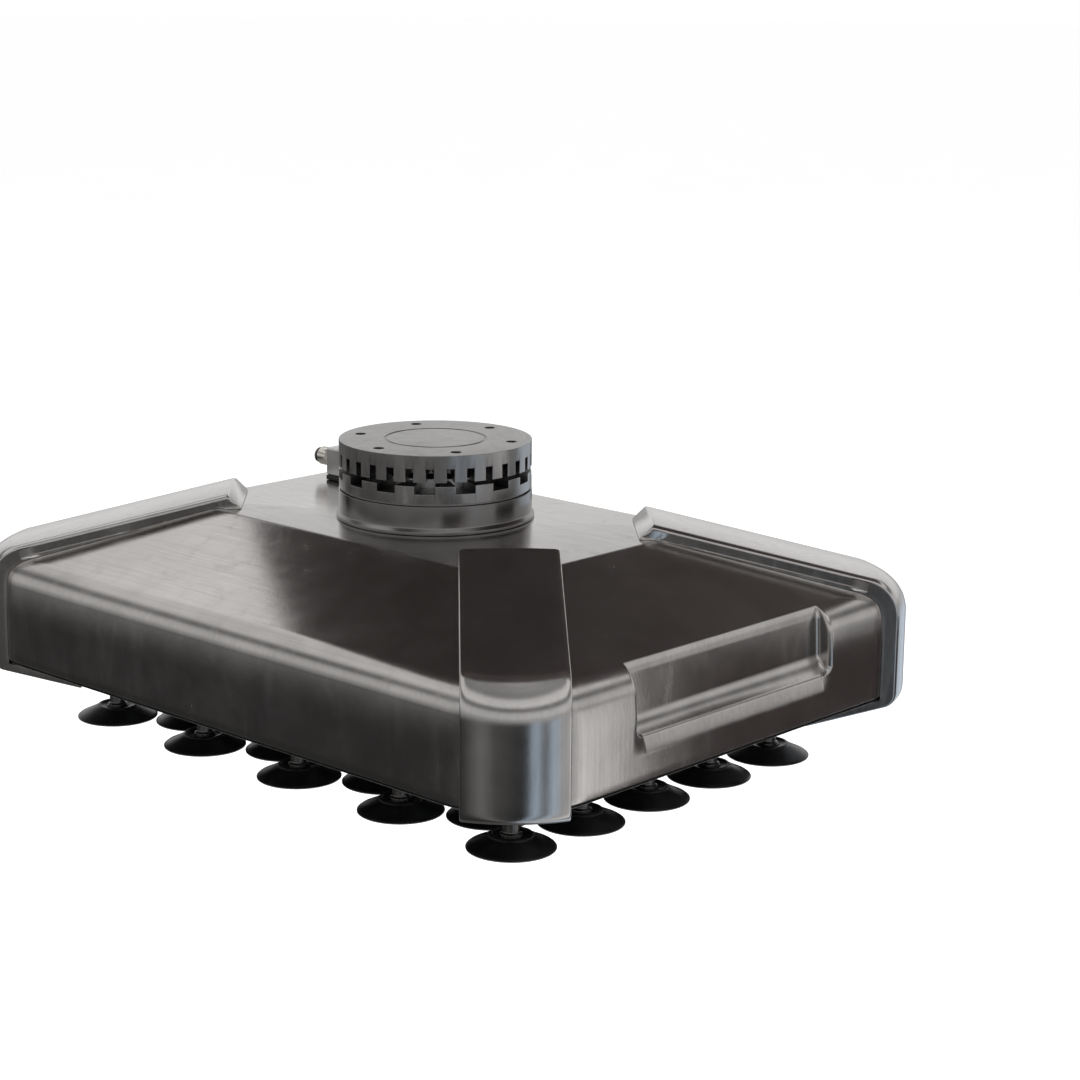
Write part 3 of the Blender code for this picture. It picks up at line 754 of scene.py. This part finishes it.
inner = loft(bm, inner_rows, inner_rows_y, cols)
skin(bm, [low, inner[0]])
skin(bm, [inner[-1], outer[0]])
cover = new_mesh("cover_casting", bm)
piece("cover_casting", cover, BODY, "housing", ("housing_cover",),
      angle=38)

# ---- pan
cols_c = columns(False)
bm = bmesh.new()
flat_out = 92.0 + 2.0
rows = [(flat_out + 10.0, 49.0), (flat_out + 2.0, 49.0), (flat_out - 4.0, 49.7),
        (flat_out - 12.0, 51.6)]
slope = (SILL_H - PAN_H) / PAN_IN
rows += [(60.0, 49.0 + (94.0 - 60.0) * slope + 0.25),
         (30.0, 49.0 + (94.0 - 30.0) * slope + 0.25),
         (8.0, 71.9), (4.0, 72.35), (2.6, 72.6), (2.1, 72.85), (2.3, 73.05),
         (2.9, 73.2), (9.5, 73.2), (10.1, 73.0), (10.4, 72.6)]
inner_pan = [(14.0, 78.0 - 0.0)]
rows += [(12.0, 72.2 + 0.0), (20.0, 76.0 - 0.0)][:0]
rows += [(12.5, 72.2), (30.0, 72.4 + 0.0 - 4.6), (60.0, 59.6 + 0.6 + 0.0),
         (88.0, 57.4), (96.0, 57.0), (110.0, 57.0)]
outl = loft(bm, rows, rows, cols_c)
cap(bm, outl[0])
cap(bm, outl[-1])
me = new_mesh("pan_form", bm)
CUPS = []
for i in range(5):
    for j in range(5):
        CUPS.append(("a%d%d" % (i + 1, j + 1), (i - 2) * 146.0, (j - 2) * 96.0))
for i in range(4):
    for j in range(4):
        CUPS.append(("b%d%d" % (i + 1, j + 1), (i - 1.5) * 146.0, (j - 1.5) * 96.0))
bm = bmesh.new()
for tag, x, y in CUPS:
    cylinder(bm, x, y, 40, 64, 10.2, sides=32)
holes = new_mesh("pan_holes", bm)
pan = carve("pan_pressed", me, [holes])
piece("pan_pressed", pan, PAN, "housing", ("base_pan",), angle=25,
      weighted=True)

# ---- gasket between cover and pan
bm = bmesh.new()
sec = rounded([(3.4, 73.5), (3.4, 75.7), (12.6, 75.7), (12.6, 73.5)], 0.7, 3)
sec = [(p.x, p.y) for p in sec]
rings_ = loft(bm, sec + sec[:1], sec + sec[:1], cols_c)
me = new_mesh("seam_gasket", bm, merge=1e-6)
piece("seam_gasket", me, SEAL, "housing", ("cover_gasket",), angle=50)

# ============================================================= corner guards
GUARD_HW = 48.5
D_C = 75.0 * math.sqrt(2)


class Diagonal:
    def __init__(self, sx, sy):
        s = math.sqrt(0.5)
        self.corner = Vector((sx * HX, sy * HY, 0))
        self.along = Vector((-sx * s, -sy * s, 0))
        self.across = Vector((sy * s, -sx * s, 0))
        if self.along.cross(self.across).z < 0:
            self.across = -self.across

    def at(self, d, w, h):
        p = self.corner + self.along * d + self.across * w
        return Vector((p.x * MM, p.y * MM, zz(h)))


def body_form(grow):
    """The full body as a closed solid, grown a little; trims the guards."""
    bm = bmesh.new()
    rx_ = lower_section() + section(163.0, False)[0:]
    ry_ = lower_section() + section(158.0, False)[0:]
    rx_ = [rx_[0], rx_[1], rx_[2]] + [r for r in rx_[3:] if r[1] > 78]
    ry_ = [ry_[0], ry_[1], ry_[2]] + [r for r in ry_[3:] if r[1] > 78]
    rgs = loft(bm, offset_rows(rx_, grow), offset_rows(ry_, grow), cols_c)
    cap(bm, rgs[0])
    cap(bm, rgs[-1])
    return new_mesh("body_form", bm)


def guard_profile(w, top_n=26, knee_n=16, wall_n=5, heel_n=9, low_n=6):
    """Outer line of a guard at one distance from its middle: d, h and normal."""
    aw = abs(w)
    sag = 85.0 - math.sqrt(85.0 ** 2 - aw ** 2)
    crown = aw * aw / 1300.0
    chamfer = 3.4 - (GUARD_HW - aw) * math.tan(math.radians(24.0))
    drop = smooth_max(crown, chamfer, 0.7)
    low_drop = crown
    dv = D_C - 85.0 + sag
    tilt = math.atan(0.249)
    tilt_l = math.atan(0.25)

    def top_h(d):
        return 197.5 + (d - 57.3) * 0.249 - drop

    def low_h(d):
        return 64.0 - (d - 40.0) * 0.25 + low_drop

    out = []
    rk = 40.0
    t = rk * math.tan((math.pi / 2 - tilt) / 2)
    ck = Vector((dv + rk, top_h(dv) - t))
    # inner end to knee
    kd = ck.x - rk * math.sin(tilt)
    n_top = Vector((-math.sin(tilt), math.cos(tilt)))
    for k in range(top_n):
        d = 300.0 + (kd - 300.0) * k / top_n
        out.append((d, top_h(d), n_top))
    for k in range(knee_n + 1):
        a = (math.pi / 2 - tilt) * (1 - k / knee_n)     # elevation of the normal
        n = Vector((-math.cos(a), math.sin(a)))
        out.append((ck.x + n.x * rk, ck.y + n.y * rk, n))
    rh = 14.0
    tl = rh * math.tan((math.pi / 2 - tilt_l) / 2)
    ch = Vector((dv + rh, low_h(dv) + tl))
    for k in range(1, wall_n):
        h = ck.y + (ch.y - ck.y) * k / wall_n
        out.append((dv, h, Vector((-1.0, 0.0))))
    for k in range(heel_n + 1):
        a = (math.pi / 2 - tilt_l) * k / heel_n
        n = Vector((-math.cos(a), -math.sin(a)))
        out.append((ch.x + n.x * rh, ch.y + n.y * rh, n))
    hd = out[-1][0]
    n_low = Vector((-math.sin(tilt_l), -math.cos(tilt_l)))
    for k in range(1, low_n + 1):
        d = hd + (140.0 - hd) * k / low_n
        out.append((d, low_h(d), n_low))
    return out


def guard_mesh(name, sx, sy, form):
    f = Diagonal(sx, sy)
    half = [0.0, 7.0, 14.0, 21.0, 28.0, 34.0, 39.0, 42.5, 44.0, 44.8, 46.0, 47.2,
            47.9, 48.3, 48.5]
    ease = {47.2: 0.0, 47.9: 0.16, 48.3: 0.55, 48.5: 1.2}
    ws = [-v for v in reversed(half[1:])] + half
    lines = {w: guard_profile(w) for w in ws}
    count = len(lines[0.0])
    inner = Vector((190.0, 140.0))
    bm = bmesh.new()
    rings_ = []
    for k in range(count):
        loop = []
        for w in ws:
            d, h, n = lines[w][k]
            e = ease.get(round(abs(w), 2), 0.0)
            loop.append((d - n.x * e, h - n.y * e, w))
        side = []
        d, h, n = lines[48.5][k]
        # the recessed strip runs along the roof arm only
        run = min(max((d - 68.0) / 3.0, 0.0), 1.0) * min(max((277.0 - d) / 3.0, 0.0),
                                                       1.0)
        if h < 180.0:
            run = 0.0
        g = 4.0 * run
        for t, inn in ((2.2, 0.0), (2.6, 0.12), (2.75, 0.45), (2.8, 1.0), (10.9, 1.0),
                       (10.95, 0.45), (11.1, 0.12), (11.5, 0.0)):
            side.append((d - n.x * t, h - n.y * t, GUARD_HW - g * inn))
        deep = Vector((d - n.x * 12.5, h - n.y * 12.5))
        deep = deep + (inner - deep) * 0.42
        side.append((deep.x, deep.y, GUARD_HW))
        loop += side
        loop += [(a, b, -c) for a, b, c in reversed(side)]
        rings_.append([bm.verts.new(f.at(a, c, b)) for a, b, c in loop])
    skin(bm, rings_)
    cap(bm, rings_[0])
    cap(bm, rings_[-1])
    bmesh.ops.recalc_face_normals(bm, faces=bm.faces)
    # slanted inner ends, above and below
    end_h = 197.5 + (282.0 - 57.3) * 0.249
    low_h = 64.0 - (124.0 - 40.0) * 0.25
    for p, n in ((f.at(282.0, 0, end_h), f.along + Vector((0, 0, 1))),
                 (f.at(124.0, 0, low_h), f.along - Vector((0, 0, 1)))):
        geom = bm.verts[:] + bm.edges[:] + bm.faces[:]
        got = bmesh.ops.bisect_plane(bm, geom=geom, dist=1e-6, plane_co=p,
                                     plane_no=n.normalized(), clear_outer=True)
        edges = [e for e in got['geom_cut'] if isinstance(e, bmesh.types.BMEdge)]
        bmesh.ops.contextual_create(bm, geom=edges)
    me_ = new_mesh(name, bm, merge=1e-6)
    me_ = carve(name, me_, [form])
    ends = [(f.along + Vector((0, 0, 1))).normalized(),
            (f.along - Vector((0, 0, 1))).normalized()]
    b2 = bmesh.new()
    b2.from_mesh(me_)
    pick = []
    for e in b2.edges:
        if len(e.link_faces) == 2:
            hit = [any(fc.normal.dot(n) > 0.999 for n in ends) for fc in e.link_faces]
            if hit[0] != hit[1] and e.calc_face_angle(0) > 0.3:
                pick.append(e)
    bmesh.ops.bevel(b2, geom=pick, offset=0.7 * MM, segments=2, profile=0.5,
                    affect='EDGES', clamp_overlap=False)
    b2.to_mesh(me_)
    b2.free()
    return me_


FORM = body_form(0.3)
for sx, sy, tag in ((1, -1, "front_right"), (-1, -1, "front_left"),
                    (1, 1, "back_right"), (-1, 1, "back_left")):
    name = "guard_plate_" + tag
    me = guard_mesh(name, sx, sy, FORM)
    piece(name, me, GUARD, "housing", ("corner_guard_" + tag,), angle=34)

# ================================================================== coupling
P0 = PLATEAU_H + 0.3
me = turned("collar_turned", [
    (31, 268.4, 0.3), (95.6, 268.4, 0.3), (95.6, 266.6, 0.2), (99.5, 266.6, 0.5),
    (99.5, 244.6, 2.6), (102.0, 240.9, 0.8), (102.0, 237.9, 0.4), (31, 237.9, 0.3)],
    180, 0.4, 5)
piece("collar_turned", me, COLLAR, "housing", ("mounting_collar",),
      angle=50)


def slots(count, width_deg, r_in, r_out, h0, h1, start):
    bm_ = bmesh.new()
    half = math.radians(width_deg) / 2
    for k in range(count):
        a = math.radians(start) + k * math.tau / count
        made = bmesh.ops.create_cube(bm_, size=1.0)
        for v in made['verts']:
            r = r_out if v.co.x > 0 else r_in
            w = math.copysign(r * math.tan(half), v.co.y)
            h = h1 if v.co.z > 0 else h0
            v.co = Vector(((r * math.cos(a) - w * math.sin(a)) * MM,
                           (r * math.sin(a) + w * math.cos(a)) * MM, zz(h)))
    return new_mesh("slots", bm_)


bm = bmesh.new()
cylinder(bm, 0, 0, 268.8, 287.0, 99.0, sides=180)
body_ = new_mesh("ring_lo", bm)
bm = bmesh.new()
cylinder(bm, 0, 0, 250, 300, 70.0, sides=90)
bore_ = new_mesh("ring_lo_bore", bm)
me = carve("castle_ring_lower", body_, [bore_, slots(15, 12.0, 60, 115, 279.0, 295,
                                                    -51.0)])
soften(me, 0.45, 40.0, 2)
piece("castle_ring_lower", me, RING, "housing",
      ("coupling_ring_lower",), angle=28, weighted=True)

bm = bmesh.new()
cylinder(bm, 0, 0, 290.8, 318.0, 99.0, sides=120)
body_ = new_mesh("ring_up", bm)
bm = bmesh.new()
cylinder(bm, 0, 0, 280, 305.0, 86.0, sides=120)
bore_ = new_mesh("ring_up_bore", bm)
bm = bmesh.new()
for k in range(6):
    a = math.radians(30 + 60 * k)
    cylinder(bm, 80 * math.cos(a), 80 * math.sin(a), 295, 330, 5.5, sides=28)
bolts_ = new_mesh("ring_up_bolts", bm)
# shallow turned groove that centres the robot's flange
groove = turned("face_groove", [(50.0, 319.0), (50.0, 317.2), (53.0, 317.2),
                                (53.0, 319.0)], 120, 0.0, 1)
me = carve("castle_ring_upper", body_, [
    bore_, slots(30, 4.6, 70, 115, 285, 304.5, -48.0), bolts_, groove])
soften(me, 0.4, 40.0, 2)
piece("castle_ring_upper", me, RING, "housing",
      ("coupling_ring_upper",), angle=28, weighted=True)

me = turned("hub_turned", [
    (15, 304.7), (58, 304.7), (58, 292), (69.4, 289), (69.4, 268.9), (15, 268.9)],
    120, 0.8, 3)
piece("hub_turned", me, HUB, "housing", ("coupling_hub",), angle=40)

# ================================================================= air port
PX, PY, PW = -210.0, 55.0, 32.0
bm = bmesh.new()
block(bm, PX, PX + PW, PY - PW / 2, PY + PW / 2, P0, P0 + 5)
me = new_mesh("port_foot_seal", bm)
soften(me, 0.8, 40, 3)
piece("port_foot_seal", me, SEAL, "housing", ("port_block_seal",), angle=50)

AX = P0 - 0.3 + 22.0
bm = bmesh.new()
block(bm, PX, PX + PW, PY - PW / 2, PY + PW / 2, P0 + 5.3, P0 + 36)
me = new_mesh("port_form", bm)
soften(me, 2.4, 40, 4)
cut_ = []
bm = bmesh.new()
bmesh.ops.create_cone(bm, cap_ends=True, segments=36, radius1=8.4 * MM,
                      radius2=8.4 * MM, depth=40 * MM,
                      matrix=Matrix.Translation(((PX - 4) * MM, PY * MM, zz(AX)))
                      @ Matrix.Rotation(math.pi / 2, 4, 'Y'))
for sy in (-1, 1):
    cylinder(bm, PX + 24.5, PY + sy * 10.0, P0 + 31.4, P0 + 40, 3.6, sides=28)
me = carve("port_block", me, [new_mesh("port_cuts", bm)])
piece("port_block", me, PORT, "housing", ("air_port_block",), angle=35,
      weighted=True)


def cap_screw(name, head_r, head_h, socket_r):
    """Socket-head cap screw, head only, standing on z = 0 with its hexagon."""
    m_ = turned(name, [(0, 0, 0), (head_r, 0, 0.15), (head_r, head_h, 0.35),
                       (0, head_h, 0)], 28, 0.2, 3, base=0, closed=False)
    b_ = bmesh.new()
    bmesh.ops.create_cone(b_, cap_ends=True, segments=6, radius1=socket_r * MM,
                          radius2=socket_r * MM, depth=head_h * 1.1 * MM,
                          matrix=Matrix.Translation((0, 0, head_h * MM)))
    return carve(name, m_, [new_mesh(name + "_hex", b_)])


small_screw = cap_screw("port_screw_mesh", 3.1, 3.4, 1.6)
piece("port_screws", copies("port_screws", small_screw, [
    Matrix.Translation(((PX + 24.5) * MM, (PY + s * 10.0) * MM, zz(P0 + 31.6)))
    for s in (-1, 1)]), SCREW, "housing", angle=35)

lie = (Matrix.Translation((PX * MM, PY * MM, zz(AX)))
       @ Matrix.Rotation(-math.pi / 2, 4, 'Y'))
me = turned("fitting_barrel", [
    (5.0, -13.5, 0.3), (8.0, -13.5, 0.4), (8.0, 0.9, 0.2), (10.6, 0.9, 0.3),
    (10.6, 1.4, 0.2), (9.2, 1.6, 0.2), (9.2, 9.2, 0.2), (10.0, 9.6, 0.4),
    (10.0, 21.5, 1.4), (9.4, 22.4, 0.3), (7.2, 22.4, 0.3), (7.2, 21.8, 0.2),
    (5.0, 21.8, 0.3)], 64, 0.3, 3, base=0, about=lie)
piece("fitting_barrel", me, NICKEL, "housing", ("air_inlet_fitting",),
      angle=35)
bm = bmesh.new()
bmesh.ops.create_cone(bm, cap_ends=True, segments=6, radius1=11.4 * MM,
                      radius2=11.4 * MM, depth=8.0 * MM,
                      matrix=lie @ Matrix.Translation((0, 0, 5.4 * MM)))
hexm = new_mesh("fitting_hex_form", bm)
soften(hexm, 0.5, 30, 2)
bm = bmesh.new()
bmesh.ops.create_cone(bm, cap_ends=True, segments=48, radius1=9.25 * MM,
                      radius2=9.25 * MM, depth=20.0 * MM,
                      matrix=lie @ Matrix.Translation((0, 0, 5.4 * MM)))
me = carve("fitting_hexagon", hexm, [new_mesh("fitting_hex_bore", bm)])
piece("fitting_hexagon", me, NICKEL, "housing", angle=30, weighted=True)
me = turned("fitting_release_sleeve", [
    (5.1, 20.0, 0.2), (7.0, 20.0, 0.2), (7.0, 24.6, 0.2), (8.4, 24.8, 0.4),
    (8.4, 27.6, 0.7), (5.1, 27.6, 0.6)], 56, 0.3, 3, base=0, about=lie)
piece("fitting_release_sleeve", me, BUSH, "housing", angle=35)

# ===================================================================== cups
cup_me = turned("cup_bellows", [
    (0.0, 10.4, 0), (11.6, 10.4, 0.3), (12.4, 11.4, 0.5), (17.6, 12.0, 0.6),
    (18.3, 13.4, 0.5), (20.6, 13.4, 0.7), (21.6, 11.4, 0.9), (24.0, 10.6, 1.6),
    (33.0, 6.1, 2.0), (40.4, 2.7, 1.2), (42.5, 1.1, 0.35), (42.4, 0.0, 0.15),
    (40.8, 0.0, 0.3), (38.6, 0.8, 0.8), (30.0, 4.0, 2.0), (19.0, 6.6, 1.5),
    (15.0, 6.2, 0.6), (5.0, 6.2, 0.6), (3.0, 8.0, 0.3), (0.0, 8.0, 0)],
    48, 0.5, 2, base=0, closed=False)
shade(cup_me, 46)
cup_me["shaded"] = 1
cleats = bmesh.new()
for k in range(8):
    a = math.tau * (k + 0.5) / 8
    m = (Matrix.Rotation(a, 4, 'Z') @ Matrix.Translation((23.5 * MM, 0, 4.6 * MM))
         @ Matrix.Rotation(math.radians(15.0), 4, 'Y')
         @ Matrix.Diagonal((12.0 * MM, 2.2 * MM, 2.6 * MM, 1)))
    bmesh.ops.create_cube(cleats, size=1.0, matrix=m)
cleats = new_mesh("cup_cleats", cleats)
soften(cleats, 0.5, 40, 1)
both = bmesh.new()
both.from_mesh(cup_me)
both.from_mesh(cleats)
both.to_mesh(cup_me)
both.free()
shade(cup_me, 46)
stem_me = turned("cup_stem", [
    (0.0, 65.5, 0), (12.0, 65.5, 0.9), (12.0, 57.5, 0.5), (8.2, 57.5, 0.2),
    (8.2, 15.4, 1.6), (10.4, 13.9, 0.8), (10.4, 12.2, 0.3), (11.4, 12.2, 0.3),
    (11.4, 10.5, 0.2), (0.0, 10.5, 0)], 36, 0.4, 3, base=0, closed=False)
for tag, x, y in CUPS:
    at = (x * MM, y * MM, LIPS)
    piece("cup_disc_" + tag, cup_me, RUBBER, "cup_" + tag,
          ("suction_cup_" + tag,), location=at, angle=46)
    piece("cup_stem_" + tag, stem_me, STEM, "cup_" + tag,
          location=at, angle=40)

# guide bushes in the pan, one round each stem
bush_me = turned("guide_bush_mesh", [
    (8.55, 46.2, 0.3), (14.2, 46.2, 0.8), (14.2, 48.8, 0.2), (10.0, 48.8, 0.1),
    (10.0, 57.15, 0.3), (8.55, 57.15, 0.3)], 36, 0.3, 2, base=0)
piece("guide_bushes", copies("guide_bushes", bush_me, [
    Matrix.Translation((x * MM, y * MM, LIPS)) for tag, x, y in CUPS]), BUSH,
    "housing", angle=40)

# screws that hold the pan, on its sloped belt
pan_screw = cap_screw("pan_screw_mesh", 5.0, 3.0, 2.4)
tilt_s = math.atan(slope)
places = []
for k in range(7):
    for s in (-1, 1):
        places.append((-270.0 + 90.0 * k, s * (HY - 34.0), 'y', s))
for k in range(5):
    for s in (-1, 1):
        places.append((s * (HX - 34.0), -170.0 + 85.0 * k, 'x', s))
belt = 49.0 + (94.0 - 34.0) * slope + 0.25
spots = []
for x, y, axis, s in places:
    lean = (Matrix.Rotation(s * tilt_s, 4, 'X') if axis == 'y'
            else Matrix.Rotation(-s * tilt_s, 4, 'Y'))
    spots.append(Matrix.Translation((x * MM, y * MM, zz(belt + 0.4))) @ lean
                 @ Matrix.Rotation(math.pi, 4, 'X'))
piece("pan_screws", copies("pan_screws", pan_screw, spots), SCREW, "housing",
      angle=35)

# ============================================================ inner CAD nodes
for name, mat, width in (("spring_plate", PLATE, 0.6), ("vacuum_ejector", EJECTOR, 1.0),
                         ("vacuum_filter", FILTER, 1.2), ("pressure_sensor", SENSOR, 1.0)):
    ob = NODES[name]
    ob.data.materials.clear()
    ob.data.materials.append(mat)
    weld = ob.modifiers.new("joined", 'WELD')
    weld.merge_threshold = 0.00002
    mod = ob.modifiers.new("edges", 'BEVEL')
    mod.width = width * MM
    mod.segments = 2
    mod.limit_method = 'ANGLE'
    mod.angle_limit = math.radians(40)

# ============================================================ floor and light
floor_mat = Shader("floor_paper")
tone = floor_mat.noise(floor_mat.coord, 3.0, 3.0, 0.5)
floor_mat.finish(floor_mat.mix(tone, (0.86, 0.86, 0.86), (0.90, 0.90, 0.90)), 0.9,
                 Emission_Color=(1.0, 1.0, 1.0, 1.0), Emission_Strength=0.42)
bm = bmesh.new()
bmesh.ops.create_circle(bm, cap_ends=True, segments=96, radius=60.0,
                        matrix=Matrix.Translation((0, 0, zz(-520))))
me = bpy.data.meshes.new("floor")
bm.to_mesh(me)
bm.free()
me.materials.append(floor_mat.mat)
floor = bpy.data.objects.new("floor", me)
bpy.context.scene.collection.objects.link(floor)
floor.visible_glossy = False
bpy.context.scene.view_settings.view_transform = 'Standard'

world = bpy.data.worlds.new("studio")
bpy.context.scene.world = world
world.use_nodes = True
wt = world.node_tree
wt.nodes.clear()


def wn(kind, **props):
    n = wt.nodes.new(kind)
    for k, v in props.items():
        setattr(n, k, v)
    return n


def wmath(op, a, b=None, clamp=False):
    n = wn("ShaderNodeMath", operation=op, use_clamp=clamp)
    for s, v in zip(n.inputs, (a, b)):
        if v is None:
            continue
        if isinstance(v, (int, float)):
            s.default_value = v
        else:
            wt.links.new(v, s)
    return n.outputs[0]


def wramp(fac, stops, interpolation='EASE'):
    n = wn("ShaderNodeValToRGB")
    n.color_ramp.interpolation = interpolation
    els = n.color_ramp.elements
    while len(els) < len(stops):
        els.new(0.5)
    for e, (p, c) in zip(els, stops):
        e.position = p
        e.color = (*c, 1.0) if hasattr(c, "__len__") else (c, c, c, 1.0)
    wt.links.new(fac, n.inputs[0])
    return n.outputs[0]


def wmix(fac, a, b):
    n = wn("ShaderNodeMix", data_type='RGBA')
    for s, v in ((n.inputs[0], fac), (n.inputs[6], a), (n.inputs[7], b)):
        if isinstance(v, tuple):
            s.default_value = (*v, 1.0)
        else:
            wt.links.new(v, s)
    return n.outputs[2]


direction = wn("ShaderNodeTexCoord").outputs["Generated"]
sep = wn("ShaderNodeSeparateXYZ")
wt.links.new(direction, sep.inputs[0])
azimuth = wmath('ADD', wmath('MULTIPLY', wmath('ARCTAN2', sep.outputs[1],
                                               sep.outputs[0]),
                             1.0 / math.tau), 0.5)


def at(deg):
    return deg / 360.0 + 0.5


COOL = (0.62, 0.76, 0.92)
below = wramp(azimuth, (
    (at(-180), 0.10), (at(-150), 0.035), (at(-112), 0.05), (at(-84), 0.22),
    (at(-66), 0.08), (at(-32), 0.03), (at(-19), COOL), (at(-9), 0.16),
    (at(4), COOL), (at(14), 0.55), (at(27), 0.62), (at(41), 1.25),
    (at(49), 1.00), (at(55), 0.10), (at(66), 0.10), (at(77), (0.80, 0.90, 1.02)),
    (at(100), (0.80, 0.90, 1.02)), (at(116), 0.20), (at(140), 0.10), (at(180), 0.10)))
above = wramp(wmath('MAXIMUM', sep.outputs[2], 0.0), (
    (0.0, 0.62), (0.10, 1.00), (0.28, 0.95), (0.40, 0.20), (0.47, 0.26),
    (0.56, 1.25), (0.74, 1.10), (0.86, 0.40), (1.0, 0.55)))
around = wramp(azimuth, ((at(-180), 0.78), (at(-100), 0.78), (at(0), 0.85),
                         (at(60), 0.80), (at(105), 1.0), (at(155), 1.0),
                         (at(180), 0.78)))
split = wramp(wmath('ADD', sep.outputs[2], 0.5), ((0.27, 0.0), (0.50, 1.0)))
studio = wmix(split, below, wmix(around, (0.0, 0.0, 0.0), above))
seen = wn("ShaderNodeLightPath").outputs["Is Camera Ray"]
colour = wmix(seen, studio, (1.0, 1.0, 1.0))
bg = wn("ShaderNodeBackground")
wt.links.new(colour, bg.inputs[0])
bg.inputs[1].default_value = 1.0
wo = wn("ShaderNodeOutputWorld")
wt.links.new(bg.outputs[0], wo.inputs[0])


def softbox(name, where, target, size, power, colour=(1, 1, 1)):
    data = bpy.data.lights.new(name, 'AREA')
    data.shape = 'RECTANGLE'
    data.size, data.size_y = size
    data.energy = power
    data.color = colour
    ob = bpy.data.objects.new(name, data)
    ob.location = where
    ob.rotation_mode = 'QUATERNION'
    ob.rotation_quaternion = (Vector(target) - Vector(where)).to_track_quat('-Z', 'Y')
    bpy.context.scene.collection.objects.link(ob)
    return ob


for light in (softbox("top_soft", (0.2, -0.2, 3.2), (0, 0, -0.2), (3.4, 3.4), 120.0),
              softbox("side_soft", (3.0, 0.6, 1.2), (0, 0, -0.2), (1.6, 1.6), 20.0)):
    light.visible_glossy = False

# black studio cards, which only show as dark reflections: one behind the flange,
# where the machine that carries the gripper would be, and one beside the body
card = Shader("card_black")
card.finish((0.070, 0.060, 0.058), 1.0)
card.bsdf.inputs["Specular IOR Level"].default_value = 0.0


def studio_card(name, matrix, soft):
    bm = bmesh.new()
    bmesh.ops.create_cube(bm, size=1.0, matrix=matrix)
    bmesh.ops.bevel(bm, geom=bm.edges[:], offset=soft, segments=4, profile=0.5,
                    affect='EDGES')
    me = bpy.data.meshes.new(name)
    bm.to_mesh(me)
    bm.free()
    me.materials.append(card.mat)
    ob = bpy.data.objects.new(name, me)
    bpy.context.scene.collection.objects.link(ob)
    for ray in ("camera", "diffuse", "transmission", "shadow", "volume_scatter"):
        setattr(ob, "visible_" + ray, False)


studio_card("card_behind", Matrix.Translation((0.114, 0.205, 0.51))
            @ Matrix.Rotation(math.atan2(-0.6, 0.8), 4, 'Z')
            @ Matrix.Diagonal((0.59, 1.0, 0.76, 1)), 0.03)
studio_card("card_beside", Matrix.Translation((0.60, 0.365, -0.545))
            @ Matrix.Rotation(math.atan2(0.66, -0.715), 4, 'Z')
            @ Matrix.Diagonal((0.37, 0.01, 0.66, 1)), 0.002)
